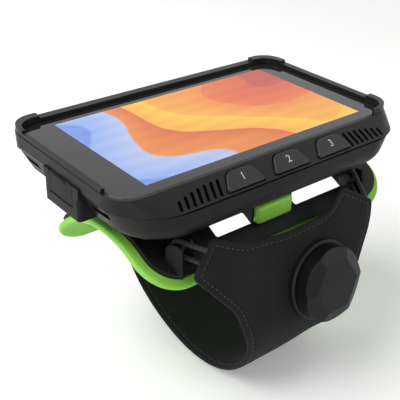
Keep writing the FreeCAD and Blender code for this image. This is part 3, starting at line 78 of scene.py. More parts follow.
# The low arch in the pad's front edge: (half its width, corner radius) at the foot and at the top, then its
# depth
PAD_ARCH_FOOT = (38.0, 6.0)
PAD_ARCH_TOP = (22.8, 12.0)
PAD_ARCH_DEPTH = 2.9

# The pad's windows on the flat pattern, and a vent near each rear corner
PAD_WINDOWS_X = ((-31.8, -8.4), (10.5, 44.5))
PAD_WINDOW_Y = (-27.3, -15.8)
PAD_WINDOW_R = 1.4
VENT_INSET = 24.0
VENT_DEGREES = 56.0
VENT_HALF_X = 8.0
VENT_HALF_Y = 2.5
VENT_R = 2.4

# The cuff's profile, from its rear end on the saddle, under the wrist and up to its front edge: degrees from
# the top of the arch to its first point, (radius, degrees) of each bend, and the length of the straight wall
CUFF_THICK = 2.4
CUFF_EDGE_R = 0.95
CUFF_PITCH = 1.9
CUFF_START = 44.0
CUFF_BENDS = ((49.8, 22.0), (13.8, 44.8), (58.0, 80.7), (33.4, 89.5))
CUFF_RISE = 40.0
# The sewn edge is pressed to this share of the thickness, and the full thickness comes back between these
# distances from the edge
EDGE_SHARE = 0.74
EDGE_SOFTENS = (1.5, 5.0)
# The cloth is still near the dial and near its clamped end, and uneven from there on, in two waves
STILL_BY_DIAL = (19.0, 34.0)
STILL_BY_CLAMP = (26.0, 48.0)
LONG_WAVE = 0.34
SHORT_WAVE = 0.22

# Stitches: a row inside the edge, and the size of one stitch
STITCH_INSET = 2.3
STITCH_PITCH = 2.5
STITCH_HALF_LENGTH = 0.75
STITCH_HALF_WIDTH = 0.2
STITCH_HALF_HEIGHT = 0.18
STITCH_LIFT = 0.08
STITCH_SEAT = 0.80
STITCH_SIDES = 6

# Lace hooks: (x, turn about the upright, dip), and the lace's path round the post
HOOK_Y = -28.46
HOOK_Z = 2.54
HOOKS = {"left": (-50.0, 21.0, 0.0), "right": (43.5, -21.0, 24.0)}
LACE_R = 0.95
LACE_REACH = 3.0
LACE_SIDES = 16
LACE_RUN_STEPS = 12
LACE_TURN_STEPS = 16

# Numerals on the keys: their size, how far down the face they are, and the ink's thickness
NUMERAL_SIZE = 4.3
NUMERAL_DOWN = 5.0
INK_THICK = 0.02

# The floor's height, and half its width in metres
FLOOR_Z = -73.0
FLOOR_HALF = 4.0


def linear(hex_colour):
    """An sRGB hex colour as the linear values that shaders take."""
    parts = [int(hex_colour[i:i + 2], 16) / 255.0 for i in (1, 3, 5)]
    return [c / 12.92 if c <= 0.04045 else ((c + 0.055) / 1.055) ** 2.4 for c in parts] + [1.0]


def add(tree, kind, inputs=None, **settings):
    """One node with its settings; an input is a value or another node's socket."""
    node = tree.nodes.new(kind)
    for name, value in settings.items():
        setattr(node, name, value)
    for name, value in (inputs or {}).items():
        if isinstance(value, bpy.types.NodeSocket):
            tree.links.new(value, node.inputs[name])
        else:
            node.inputs[name].default_value = value
    return node


def new_material(name):
    material = bpy.data.materials.new(name)
    material.use_nodes = True
    material.node_tree.nodes.clear()
    return material, material.node_tree


def close_material(tree, shader):
    add(tree, "ShaderNodeOutputMaterial", {"Surface": shader.outputs[0]})


def in_scene(name, data):
    """A new object of the scene with this mesh, curve, lamp or camera."""
    piece = bpy.data.objects.new(name, data)
    bpy.context.scene.collection.objects.link(piece)
    return piece


def two_tone(tree, place, dark, light, size_mm, detail=3.0):
    """A slow drift between two close shades, as a moulding or a cloth shows in soft light."""
    drift = add(tree, "ShaderNodeTexNoise", {"Vector": place, "Scale": 1.0 / (size_mm * MM),
                                             "Detail": detail})
    ramp = add(tree, "ShaderNodeValToRGB", {"Fac": drift.outputs["Fac"]})
    for stop, position, colour in zip(ramp.color_ramp.elements, (0.36, 0.66), (dark, light)):
        stop.position = position
        stop.color = linear(colour)
    return ramp.outputs["Color"]


def moulded_plastic(name, dark, light, roughness, grain_mm, grain_depth_mm, edge_mm=0.3, ior=1.5,
                    specular=0.5):
    """Injection-moulded plastic: spark-eroded grain, a faint drift in shade and gloss, softened edges.

    Real grain is 0.1 to 0.2 mm wide. It wouldn't show at this distance, so it is drawn at 0.5 to 2 mm.
    """
    material, tree = new_material(name)
    place = add(tree, "ShaderNodeTexCoord").outputs["Object"]
    colour = two_tone(tree, place, dark, light, 34.0)
    grain = add(tree, "ShaderNodeTexNoise", {"Vector": place, "Scale": 1.0 / (grain_mm * MM), "Detail": 4.0,
                                             "Roughness": 0.62})
    rubbed = add(tree, "ShaderNodeTexNoise", {"Vector": place, "Scale": 1.0 / (9.0 * MM), "Detail": 5.0})
    gloss = add(tree, "ShaderNodeMapRange", {"Value": rubbed.outputs["Fac"], "From Min": 0.3, "From Max": 0.7,
                                             "To Min": roughness - 0.05, "To Max": roughness + 0.06})
    softened = add(tree, "ShaderNodeBevel", {"Radius": edge_mm * MM}, samples=4)
    bump = add(tree, "ShaderNodeBump", {"Height": grain.outputs["Fac"], "Distance": grain_depth_mm * MM,
                                        "Strength": 1.0, "Normal": softened.outputs["Normal"]})
    shader = add(tree, "ShaderNodeBsdfPrincipled", {"Base Color": colour,
                                                    "Roughness": gloss.outputs["Result"],
                                                    "Normal": bump.outputs["Normal"], "IOR": ior,
                                                    "Specular IOR Level": specular})
    close_material(tree, shader)
    return material


def worked_metal(name, dark, light, roughness, brush_mm, direction, edge_mm=0.1):
    """Plated or stamped metal: fine lines along the way it was worked, and a little tarnish.

    Real lines are about 0.05 mm apart. They wouldn't show, so they are drawn at 0.3 to 1 mm.
    """
    material, tree = new_material(name)
    place = add(tree, "ShaderNodeTexCoord").outputs["Object"]
    colour = two_tone(tree, place, dark, light, 3.0)
    stretched = add(tree, "ShaderNodeMapping", {"Vector": place, "Scale": direction})
    lines = add(tree, "ShaderNodeTexNoise", {"Vector": stretched.outputs["Vector"],
                                             "Scale": 1.0 / (brush_mm * MM), "Detail": 3.0})
    gloss = add(tree, "ShaderNodeMapRange", {"Value": lines.outputs["Fac"], "To Min": roughness - 0.08,
                                             "To Max": roughness + 0.12})
    softened = add(tree, "ShaderNodeBevel", {"Radius": edge_mm * MM}, samples=4)
    bump = add(tree, "ShaderNodeBump", {"Height": lines.outputs["Fac"], "Distance": 0.01 * MM,
                                        "Normal": softened.outputs["Normal"]})
    shader = add(tree, "ShaderNodeBsdfPrincipled", {"Base Color": colour, "Metallic": 1.0,
                                                    "Roughness": gloss.outputs["Result"],
                                                    "Normal": bump.outputs["Normal"]})
    close_material(tree, shader)
    return material


def printed_display_glass(name):
    """Cover glass over the lit display: a dark printed border, and layered waves of warm and pale colour.

    The waves are a plain design of this scene's own. The glass gives the top its mirror-like gloss.
    """
    material, tree = new_material(name)
    place = add(tree, "ShaderNodeTexCoord").outputs["Object"]
    on_screen = add(tree, "ShaderNodeMapping", {"Vector": place, "Scale": (1.0 / MM, 1.0 / MM, 1.0 / MM),
                                                "Location": (-DISPLAY[0], -DISPLAY[1], -DISPLAY[2])})
    mm_place = on_screen.outputs["Vector"]
    split = add(tree, "ShaderNodeSeparateXYZ", {"Vector": mm_place})
    inside = None
    for axis, length in (("X", LIT_AREA[0]), ("Y", LIT_AREA[1])):
        from_middle = add(tree, "ShaderNodeMath", {0: split.outputs[axis]}, operation="ABSOLUTE")
        within = add(tree, "ShaderNodeMath", {0: from_middle.outputs[0], 1: length / 2.0},
                     operation="LESS_THAN")
        if inside is None:
            inside = within.outputs[0]
        else:
            both = add(tree, "ShaderNodeMath", {0: inside, 1: within.outputs[0]}, operation="MULTIPLY")
            inside = both.outputs[0]

    # Layers lie round a point beyond the upper right corner. A swell 45 mm wide pushes them 30 mm in or out
    swell = add(tree, "ShaderNodeTexNoise", {"Vector": mm_place, "Scale": 0.022, "Detail": 0.0})
    swell_mm = add(tree, "ShaderNodeMapRange", {"Value": swell.outputs["Fac"], "To Min": -30.0,
                                                "To Max": 30.0})
    flat = add(tree, "ShaderNodeCombineXYZ", {"X": split.outputs["X"], "Y": split.outputs["Y"]})
    reach = add(tree, "ShaderNodeVectorMath", {0: flat.outputs[0], 1: (74.0, 44.0, 0.0)},
                operation="DISTANCE")
    waved = add(tree, "ShaderNodeMath", {0: reach.outputs["Value"], 1: swell_mm.outputs["Result"]},
                operation="ADD")
    share = add(tree, "ShaderNodeMapRange", {"Value": waved.outputs[0], "From Min": 12.0, "From Max": 176.0})
    layers = add(tree, "ShaderNodeValToRGB", {"Fac": share.outputs["Result"]})
    steps = ((0.0, "#B3261C"), (0.16, "#CC3A20"), (0.165, "#E25420"), (0.29, "#EC7222"), (0.295, "#F48E28"),
             (0.43, "#FBB030"), (0.435, "#FFCB32"), (0.56, "#FBB22C"), (0.565, "#DE6424"), (0.66, "#EE8A2C"),
             (0.665, "#B9C6EE"), (0.76, "#93B2F0"), (0.765, "#6E94EA"), (1.0, "#A79AE0"))
    stops = layers.color_ramp.elements
    while len(stops) < len(steps):
        stops.new(0.5)
    for stop, (position, colour) in zip(stops, steps):
        stop.position = position
        stop.color = linear(colour)
    # Faint rings 9 mm apart over the layers
    ripple = add(tree, "ShaderNodeTexWave", {"Vector": mm_place, "Scale": 0.035, "Distortion": 3.0,
                                             "Detail": 1.0}, wave_type="RINGS")
    sheen = add(tree, "ShaderNodeMapRange", {"Value": ripple.outputs["Fac"], "To Min": 0.84, "To Max": 0.92})
    picture = add(tree, "ShaderNodeVectorMath", {0: layers.outputs["Color"],
                                                 "Scale": sheen.outputs["Result"]}, operation="SCALE")
    border = two_tone(tree, place, "#1C1B1D", "#212022", 20.0)
    mixed = add(tree, "ShaderNodeMix", data_type="RGBA")
    tree.links.new(inside, mixed.inputs["Factor"])
    colour_in = [s for s in mixed.inputs if s.type == "RGBA"]
    tree.links.new(border, colour_in[0])
    tree.links.new(picture.outputs[0], colour_in[1])
    colour = [s for s in mixed.outputs if s.type == "RGBA"][0]
    # The lit display glows a little by itself. Finger smears 16 mm wide dull the gloss
    lit = add(tree, "ShaderNodeMath", {0: inside, 1: 0.06}, operation="MULTIPLY")
    smears = add(tree, "ShaderNodeTexNoise", {"Vector": place, "Scale": 1.0 / (16.0 * MM), "Detail": 5.0})
    gloss = add(tree, "ShaderNodeMapRange", {"Value": smears.outputs["Fac"], "From Min": 0.35,
                                             "From Max": 0.75, "To Min": 0.04, "To Max": 0.10})
    softened = add(tree, "ShaderNodeBevel", {"Radius": 0.25 * MM}, samples=4)
    shader = add(tree, "ShaderNodeBsdfPrincipled", {"Base Color": colour,
                                                    "Roughness": gloss.outputs["Result"],
                                                    "Emission Color": colour,
                                                    "Emission Strength": lit.outputs[0],
                                                    "Normal": softened.outputs["Normal"], "IOR": 1.5})
    close_material(tree, shader)
    return material


def laminated_cuff_cloth(name, dark, light):
    """Knitted nylon on foam: fine ribs of yarn, a faint sheen and a pressed line under the stitches."""
    material, tree = new_material(name)
    place = add(tree, "ShaderNodeTexCoord").outputs["Object"]
    colour = two_tone(tree, place, dark, light, 22.0, 5.0)
    # A wave texture repeats every 2 pi / 20 of its scale. The knit's ribs are 0.7 mm apart
    ribs = 2.0 * pi / 20.0 / (0.7 * MM)
    across, along = (
        add(tree, "ShaderNodeTexWave", {"Vector": place, "Scale": ribs, "Distortion": 0.8, "Detail": 2.0,
                                        "Detail Scale": 3.0}, bands_direction=way) for way in ("X", "Z"))
    woven = add(tree, "ShaderNodeMath", {0: across.outputs["Fac"], 1: along.outputs["Fac"]},
                operation="MULTIPLY")
    # Loose fibres of about 0.5 mm blur the ribs
    fuzz = add(tree, "ShaderNodeTexNoise", {"Vector": place, "Scale": 1.0 / (0.5 * MM), "Detail": 4.0})
    weave = add(tree, "ShaderNodeMath", {0: woven.outputs[0], 1: fuzz.outputs["Fac"]}, operation="ADD")
    seam = add(tree, "ShaderNodeAttribute", attribute_name="seam_mm")
    from_seam = add(tree, "ShaderNodeMath", {0: seam.outputs["Fac"], 1: STITCH_INSET}, operation="SUBTRACT")
    apart = add(tree, "ShaderNodeMath", {0: from_seam.outputs[0]}, operation="ABSOLUTE")
    groove = add(tree, "ShaderNodeMapRange", {"Value": apart.outputs[0], "From Max": 1.1, "To Min": 0.0,
                                              "To Max": 1.0}, interpolation_type="SMOOTHSTEP")
    pressed = add(tree, "ShaderNodeBump", {"Height": groove.outputs["Result"], "Distance": 0.5 * MM})
    bump = add(tree, "ShaderNodeBump", {"Height": weave.outputs[0], "Distance": 0.05 * MM,
                                        "Normal": pressed.outputs["Normal"]})
    shader = add(tree, "ShaderNodeBsdfPrincipled", {"Base Color": colour, "Roughness": 0.82,
                                                    "Normal": bump.outputs["Normal"], "IOR": 1.45,
                                                    "Specular IOR Level": 0.25, "Sheen Weight": 0.03,
                                                    "Sheen Roughness": 0.5})
    close_material(tree, shader)
    return material


def spun_thread(name, dark, light):
    """Polyester sewing thread: twisted strands, slightly paler than the cloth it holds."""
    material, tree = new_material(name)
    place = add(tree, "ShaderNodeTexCoord").outputs["Object"]
    colour = two_tone(tree, place, dark, light, 2.0)
    # The thread's twist, 0.25 mm from strand to strand
    twist = add(tree, "ShaderNodeTexNoise", {"Vector": place, "Scale": 1.0 / (0.25 * MM), "Detail": 2.0})
    bump = add(tree, "ShaderNodeBump", {"Height": twist.outputs["Fac"], "Distance": 0.06 * MM})
    shader = add(tree, "ShaderNodeBsdfPrincipled", {"Base Color": colour, "Roughness": 0.6,
                                                    "Normal": bump.outputs["Normal"], "Sheen Weight": 0.2})
    close_material(tree, shader)
    return material


def braided_lace(name, dark, light):
    """Round braided lace of coated yarn: two sets of strands that cross round the cord."""
    material, tree = new_material(name)
    place = add(tree, "ShaderNodeTexCoord").outputs["Object"]
    colour = two_tone(tree, place, dark, light, 1.5)
    run = add(tree, "ShaderNodeAttribute", attribute_name="braid_mm")
    heights = []
    for lean in (1.0, -1.0):
        turned = add(tree, "ShaderNodeMapping", {"Vector": run.outputs["Vector"],
                                                 "Rotation": (0, 0, lean * pi / 4)})
        # A wave repeats every 2 pi / 20 of its scale, which makes strands 0.5 mm wide
        strands = add(tree, "ShaderNodeTexWave", {"Vector": turned.outputs["Vector"], "Scale": 0.62})
        heights.append(strands.outputs["Fac"])
    crossed = add(tree, "ShaderNodeMath", {0: heights[0], 1: heights[1]}, operation="MULTIPLY")
    bump = add(tree, "ShaderNodeBump", {"Height": crossed.outputs[0], "Distance": 0.18 * MM})
    shader = add(tree, "ShaderNodeBsdfPrincipled", {"Base Color": colour, "Roughness": 0.55,
                                                    "Normal": bump.outputs["Normal"], "Sheen Weight": 0.15})
    close_material(tree, shader)
    return material


def studio_floor(name):
    """Matt white paper sweep. To the camera it is a little brighter, so that it reads as white."""
    material, tree = new_material(name)
    place = add(tree, "ShaderNodeTexCoord").outputs["Object"]
    colour = two_tone(tree, place, "#FAFAF9", "#FCFCFB", 300.0)
    seen = add(tree, "ShaderNodeLightPath")
    lift = add(tree, "ShaderNodeMath", {0: seen.outputs["Is Camera Ray"], 1: 0.16}, operation="MULTIPLY")
    paper = add(tree, "ShaderNodeBsdfPrincipled", {"Base Color": colour, "Roughness": 0.9,
                                                   "Emission Color": linear("#FFFFFF"),
                                                   "Emission Strength": lift.outputs[0]})
    close_material(tree, paper)
    return material


# The dark plastics and the cloth have a specular level below the real 0.5, because the white floor shows in
# them and lifts the blacks. Under other light they look duller than real ones.

# Glass-filled polycarbonate from an eroded mould: an even matt skin without a clear highlight
HOUSING = moulded_plastic("glass_filled_polycarbonate_moulded", "#0C0C0D", "#111112", 0.42, 0.7, 0.05,
                          specular=0.18)
# A smoother blend for the rim round the glass: its edge catches a thin line of light
RIM = moulded_plastic("polycarbonate_blend_moulded", "#0C0C0D", "#111112", 0.38, 0.7, 0.04, specular=0.26)
# Matt nylon for the mount: deep black, with only wide and weak highlights
MOUNT = moulded_plastic("nylon_moulded_matt", "#0A0A0B", "#0E0E0F", 0.50, 0.9, 0.06, specular=0.22)
# Key caps, greyer and glossier than the face round them, with well rounded edges
KEY_CAPS = moulded_plastic("polycarbonate_key_moulded", "#1E1E1F", "#242426", 0.40, 0.6, 0.03, 0.5,
                           specular=0.35)
# Silicone rubber in the seam: nearly without gloss, so that it reads as a dark line
SEAL = moulded_plastic("silicone_seal_moulded", "#060606", "#0A0A0A", 0.68, 1.0, 0.04, 0.1, 1.42)
# Thermoplastic rubber of the port cover: duller and greyer than the housing
PORT_RUBBER = moulded_plastic("elastomer_cover_moulded", "#171618", "#1C1B1E", 0.60, 0.6, 0.05, 0.3, 1.47,
                              0.25)
# Dyed acetal: a clear green with a waxy, fairly tight highlight
LATCH_GREEN = moulded_plastic("acetal_latch_moulded_green", "#8CCE4C", "#9ADC56", 0.36, 0.8, 0.03, 0.4, 1.48)
# Dyed elastomer of the pad: the same green without the latch's highlight
PAD_GREEN = moulded_plastic("elastomer_pad_moulded_green", "#86CA46", "#93D752", 0.55, 1.1, 0.06, 0.3, 1.47)
# Nylon of the dial, a little glossier than the mount's
DIAL_NYLON = moulded_plastic("nylon_dial_moulded", "#0A0A0B", "#0F0F10", 0.46, 0.8, 0.05, specular=0.22)
# Rubbery skin over the knob: broad highlights on well rounded edges
KNOB_SKIN = moulded_plastic("soft_touch_knob_moulded", "#0B0B0C", "#101011", 0.40, 0.8, 0.05, 0.8, 1.47, 0.24)
# Plain black plastic behind the grilles, seen only as their depth
SPEAKER_CASE = moulded_plastic("speaker_case_moulded", "#050505", "#090909", 0.5, 0.6, 0.03)
# Printed film round the battery: smooth, with a slow waviness in place of grain
BATTERY_WRAP = moulded_plastic("battery_film_wrapped", "#2B2C2E", "#333437", 0.3, 2.0, 0.02)
# Green lacquer on the boards: glossy, and slightly uneven over the copper
SOLDER_MASK = moulded_plastic("circuit_board_solder_mask", "#0F3B22", "#15482B", 0.32, 1.6, 0.02)
# Pad-printed ink: flat pale grey
INK = moulded_plastic("pad_printed_ink_pale", "#BEBEC0", "#CBCBCD", 0.5, 0.5, 0.01, 0.02)
# Toughened glass with ink behind it: the tightest reflections of the piece
GLASS = printed_display_glass("cover_glass_printed")
# Blackened steel: dark, with a dull metallic gleam on the edges
SCREW_STEEL = worked_metal("steel_screw_blackened", "#2A2A2C", "#38383A", 0.38, 0.4, (1.0, 1.0, 6.0))
# Drawn spring wire: bright, with lines along the wire
SPRING_STEEL = worked_metal("spring_steel_drawn", "#9A9B9E", "#B4B5B8", 0.28, 0.3, (1.0, 6.0, 1.0))
# Stamped nickel silver: a warm grey sheet with rolling lines
SHIELD_METAL = worked_metal("nickel_silver_shield_stamped", "#A2A2A0", "#B8B8B4", 0.34, 0.5, (6.0, 1.0, 1.0))
# Cast magnesium: a dull, mottled grey
CHASSIS = worked_metal("magnesium_chassis_cast", "#8C8D90", "#A5A6A9", 0.45, 1.0, (1.0, 1.0, 1.0))
# Thin gold plate: smooth and yellow
CONTACT_GOLD = worked_metal("contact_gold_plated", "#C79A45", "#DDB35B", 0.24, 0.3, (1.0, 1.0, 1.0))
# Tin-plated steel shell: a cool grey, a little hazy
CONNECTOR = worked_metal("connector_steel_plated", "#8A8B8D", "#A2A3A6", 0.32, 0.4, (6.0, 1.0, 1.0))
# Black knit laminated on foam: matt, so that the ribs show only where light grazes them
CUFF_CLOTH = laminated_cuff_cloth("nylon_knit_laminated", "#0E0E0F", "#161617")
# Sewing thread, paler and shinier than the cloth: the seam reads as a row of small ticks
THREAD = spun_thread("polyester_thread_spun", "#19191B", "#212123")
# Braided lace: its crossing strands give a fine diamond relief
LACE = braided_lace("polyester_lace_braided", "#101011", "#1B1B1D")

NODE_FINISH = {
    "upper_housing": RIM, "lower_housing": HOUSING, "housing_seal": SEAL, "cover_glass": GLASS,
    "display_panel": SPEAKER_CASE, "mid_frame": CHASSIS, "main_board": SOLDER_MASK,
    "shield_can": SHIELD_METAL, "battery_pack": BATTERY_WRAP, "speaker_left": SPEAKER_CASE,
    "speaker_right": SPEAKER_CASE, "key_1": KEY_CAPS, "key_2": KEY_CAPS, "key_3": KEY_CAPS,
    "keypad_board": SOLDER_MASK, "port_cover": PORT_RUBBER,
    "port_connector": CONNECTOR, "charge_contacts": CONTACT_GOLD, "housing_screws": SCREW_STEEL,
    "dock_plate": MOUNT, "dock_screws": SCREW_STEEL, "mount_base": MOUNT, "latch": LATCH_GREEN,
    "latch_spring": SPRING_STEEL, "base_screws": SCREW_STEEL, "saddle_plate": MOUNT, "hook_left": MOUNT,
    "hook_right": MOUNT, "strap_clamp": MOUNT, "clamp_rivets": SCREW_STEEL, "dial_base": DIAL_NYLON,
    "dial_cartridge": DIAL_NYLON, "dial_spool": DIAL_NYLON, "dial_axle": SCREW_STEEL, "dial_knob": KNOB_SKIN,
}
for name, finish in NODE_FINISH.items():
    NODES[name].data.materials.clear()
    NODES[name].data.materials.append(finish)


def rounded(corners):
    """A closed outline of (x, y, radius) corners as points about a millimetre apart."""
    points = []
    count = len(corners)
    for i, (x, y, radius) in enumerate(corners):
        here = Vector((x, y))
        back = (Vector(corners[i - 1][:2]) - here).normalized()
        ahead = (Vector(corners[(i + 1) % count][:2]) - here).normalized()
        opening = back.angle(ahead)
        run = radius / tan(opening / 2.0)
        centre = here + (back + ahead).normalized() * (radius / sin(opening / 2.0))
        first = here + back * run - centre
        last = here + ahead * run - centre
        sweep = first.angle_signed(last)
        steps = max(3, ceil(abs(sweep) * radius / 0.8))
        start = atan2(first.y, first.x)
        for k in range(steps + 1):
            angle = start - sweep * k / steps
            points.append(centre + Vector((cos(angle), sin(angle))) * radius)
    spaced = []
    for a, b in zip(points, points[1:] + points[:1]):
        pieces = max(1, ceil((b - a).length / 1.2))
        spaced.extend(a.lerp(b, k / pieces) for k in range(pieces))
    return [(p.x, p.y) for p in spaced]


def rounded_box(x0, x1, y0, y1, radius):
    return rounded([(x0, y0, radius), (x1, y0, radius), (x1, y1, radius), (x0, y1, radius)])


def flat_pattern(name, outlines, thick, edge_r, pitch):
    """A flat cut piece with rounded edges, in millimetres, divided finely enough to be bent."""
    curve = bpy.data.curves.new(name, "CURVE")
    curve.dimensions = "2D"
    curve.fill_mode = "BOTH"
    curve.extrude = thick / 2.0 - edge_r
    curve.bevel_depth = edge_r
    curve.bevel_resolution = 2
    curve.offset = -edge_r
    for outline in outlines:
        spline = curve.splines.new("POLY")
        spline.points.add(len(outline) - 1)
        for point, (x, y) in zip(spline.points, outline):
            point.co = (x, y, 0.0, 1.0)
        spline.use_cyclic_u = True
    cutout = in_scene(name + "_pattern", curve)
    bpy.context.view_layer.update()
    mesh = bpy.data.meshes.new_from_object(cutout.evaluated_get(bpy.context.evaluated_depsgraph_get()))
    bpy.data.objects.remove(cutout)
    bm = bmesh.new()
    bm.from_mesh(mesh)
    bmesh.ops.remove_doubles(bm, verts=bm.verts, dist=0.002)
    xs = [v.co.x for v in bm.verts]
    ys = [v.co.y for v in bm.verts]
    for values, axis in ((xs, Vector((1, 0, 0))), (ys, Vector((0, 1, 0)))):
        for k in range(1, int((max(values) - min(values)) / pitch) + 1):
            bmesh.ops.bisect_plane(bm, geom=list(bm.verts) + list(bm.edges) + list(bm.faces),
                                   plane_co=axis * (min(values) + k * pitch), plane_no=axis, dist=1e-5)
    bm.to_mesh(mesh)
    bm.free()
    return mesh


def distance_to(outline, points):
    """How far each flat point is from an outline, in millimetres."""
    a = np.array(outline)
    b = np.roll(a, -1, axis=0)
    span = b - a
    length = np.maximum((span ** 2).sum(1), 1e-9)
    best = np.full(len(points), 1e9)
    for start in range(0, len(points), 2000):
        p = points[start:start + 2000, None, :]
        along = np.clip(((p - a) * span).sum(2) / length, 0.0, 1.0)
        gap = p - (a + along[..., None] * span)
        best[start:start + 2000] = np.sqrt((gap ** 2).sum(2)).min(1)
    return best


def smooth_into(bm, mesh):
    """Write an edit mesh back with outward normals and smooth shading."""
    bmesh.ops.recalc_face_normals(bm, faces=bm.faces)
    for face in bm.faces:
        face.smooth = True
    bm.to_mesh(mesh)
    bm.free()


def skin(bm, rings):
    """Faces from each ring of vertices to the next, and a cap on both ends."""
    count = len(rings[0])
    for lower, upper in zip(rings, rings[1:]):
        for k in range(count):
            bm.faces.new((lower[k], lower[(k + 1) % count], upper[(k + 1) % count], upper[k]))
    bm.faces.new(rings[0][::-1])
    bm.faces.new(rings[-1])


def bent_piece(name, mesh, bend, material):
    """Bend a flat pattern into place. bend takes flat points and gives points in metres."""
    flat = np.zeros(len(mesh.vertices) * 3)
    mesh.vertices.foreach_get("co", flat)
    placed = bend(flat.reshape(-1, 3))
    mesh.vertices.foreach_set("co", placed.reshape(-1).astype(np.float32))
    bm = bmesh.new()
    bm.from_mesh(mesh)
    smooth_into(bm, mesh)
    mesh.materials.clear()
    mesh.materials.append(material)
    return in_scene(name, mesh)


def mark(mesh, name, values):
    """Keep one number per vertex, for a material to read."""
    attribute = mesh.attributes.new(name, "FLOAT", "POINT")
    attribute.data.foreach_set("value", values.astype(np.float32))


def smooth(x, low, high):
    """0 below low, 1 above high, and an even curve between them."""
    t = np.clip((x - low) / (high - low), 0.0, 1.0)
    return t * t * (3.0 - 2.0 * t)


# Saddle pad: a soft moulding that lies on the forearm, with two windows and two vents


def pad_outlines():
    """The pad's rim, its two windows and its two vents, flat."""
    front = -radians(PAD_FRONT) * PAD_MIDDLE_R
    rear = radians(PAD_REAR) * PAD_MIDDLE_R
    x0, x1 = PAD_X
    middle = (x0 + x1) / 2.0
    foot, foot_r = PAD_ARCH_FOOT
    top, top_r = PAD_ARCH_TOP
    arched = front + PAD_ARCH_DEPTH
    outlines = [rounded([(x0, front, PAD_CORNER_R),
                         (middle - foot, front, foot_r), (middle - top, arched, top_r),
                         (middle + top, arched, top_r), (middle + foot, front, foot_r),
                         (x1, front, PAD_CORNER_R), (x1, rear, PAD_CORNER_R), (x0, rear, PAD_CORNER_R)])]
    for a, b in PAD_WINDOWS_X:
        outlines.append(rounded_box(a, b, PAD_WINDOW_Y[0], PAD_WINDOW_Y[1], PAD_WINDOW_R))
    y = radians(VENT_DEGREES) * PAD_MIDDLE_R
    for x in (x0 + VENT_INSET, x1 - VENT_INSET):
        outlines.append(rounded_box(x - VENT_HALF_X, x + VENT_HALF_X,
                                    y - VENT_HALF_Y, y + VENT_HALF_Y, VENT_R))
    return outlines


def make_saddle_pad():
    mesh = flat_pattern("saddle_pad_soft", pad_outlines(), PAD_THICK, PAD_EDGE_R, PAD_PITCH)

    def over_the_arch(flat):
        angle = flat[:, 1] / PAD_MIDDLE_R
        radius = PAD_MIDDLE_R + flat[:, 2]
        return np.stack([flat[:, 0], radius * np.sin(angle), ARCH_Z + radius * np.cos(angle)], 1) * MM

    pad = bent_piece("saddle_pad_soft", mesh, over_the_arch, PAD_GREEN)
    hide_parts("saddle_pad")
    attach(pad, "mount")


# Cuff: one laminated band from the clamp behind the saddle, under the wrist and up the front


def cuff_runs():
    """The profile's arcs as (start length, centre, radius, heading), and the straight front wall."""
    radius = CUFF_BENDS[0][0]
    heading = radians(CUFF_START)
    point = Vector((radius * sin(heading), ARCH_Z + radius * cos(heading)))
    runs = []
    travelled = 0.0
    for bend_r, bend in CUFF_BENDS:
        centre = point - bend_r * Vector((sin(heading), cos(heading)))
        runs.append((travelled, centre, bend_r, heading))
        travelled += bend_r * radians(bend)
        heading += radians(bend)
        point = centre + bend_r * Vector((sin(heading), cos(heading)))
    return runs, (travelled, point, heading)


RUNS, WALL = cuff_runs()
WALL_UP = Vector((0.0, cos(WALL[2]), -sin(WALL[2])))
CUFF_LENGTH = WALL[0] + CUFF_RISE
LOW_POINT = RUNS[2][0] + RUNS[2][2] * (pi - RUNS[2][3])


def cuff_profile(length):
    """Points (y, z) of the middle surface and the outward directions there."""
    length = np.asarray(length, float)
    y = np.zeros_like(length)
    z = np.zeros_like(length)
    heading = np.zeros_like(length)
    for start, centre, radius, first in RUNS:
        here = length >= start
        angle = first + (length[here] - start) / radius
        y[here] = centre.x + radius * np.sin(angle)
        z[here] = centre.y + radius * np.cos(angle)
        heading[here] = angle
    here = length >= WALL[0]
    y[here] = WALL[1].x + (length[here] - WALL[0]) * cos(WALL[2])
    z[here] = WALL[1].y - (length[here] - WALL[0]) * sin(WALL[2])
    heading[here] = WALL[2]
    return y, z, np.sin(heading), np.cos(heading)


def cuff_length_at(z, front):
    """Length along the profile at a height, on the front or on the rear side."""
    lengths = np.linspace(LOW_POINT, CUFF_LENGTH, 800) if front else np.linspace(LOW_POINT, 0.0, 800)
    heights = cuff_profile(lengths)[1]
    return float(np.interp(z, heights, lengths))


# The band's front and rear halves as (x, z, corner radius). They meet at MEETING_Z under the wrist
MEETING_Z = -69.9
FRONT_PANEL = [
    (-43.5, 9.5, 2.5), (-29.0, 2.2, 20.0), (-6.0, -0.8, 60.0), (16.5, 0.2, 12.0), (25.0, 8.5, 2.5),
    (42.5, -2.2, 3.0), (42.0, -12.0, 30.0), (27.5, -38.0, 30.0), (24.5, -68.0, 10.0), (23.0, -80.0, 1.0),
    (-27.0, -80.0, 1.0), (-27.5, -56.0, 30.0), (-29.8, -41.0, 20.0), (-35.0, -24.5, 20.0), (-53.5, -3.0, 2.5),
]
REAR_BAND = [
    (-20.0, 4.0, 3.0), (8.0, 4.0, 3.0), (13.0, -25.0, 30.0), (23.0, -62.0, 20.0), (23.0, -80.0, 1.0),
    (-27.0, -80.0, 1.0), (-27.0, -30.0, 30.0),
]


def cuff_outline():
    """The band's flat cut: x across and the length along the profile."""
    sides = []
    for corners, front in ((FRONT_PANEL, True), (REAR_BAND, False)):
        points = rounded(corners)
        low = min(range(len(points)), key=lambda i: points[i][1])
        points = points[low:] + points[:low]
        kept = [(x, cuff_length_at(z, front)) for x, z in points if z > MEETING_Z]
        sides.append(kept)
    front, rear = sides
    outline = front + rear if (front[-1][0] > 0) == (rear[0][0] > 0) else front + rear[::-1]
    cleaned = [outline[0]]
    for point in outline[1:]:
        if abs(point[0] - cleaned[-1][0]) + abs(point[1] - cleaned[-1][1]) > 0.25:
            cleaned.append(point)
    return cleaned


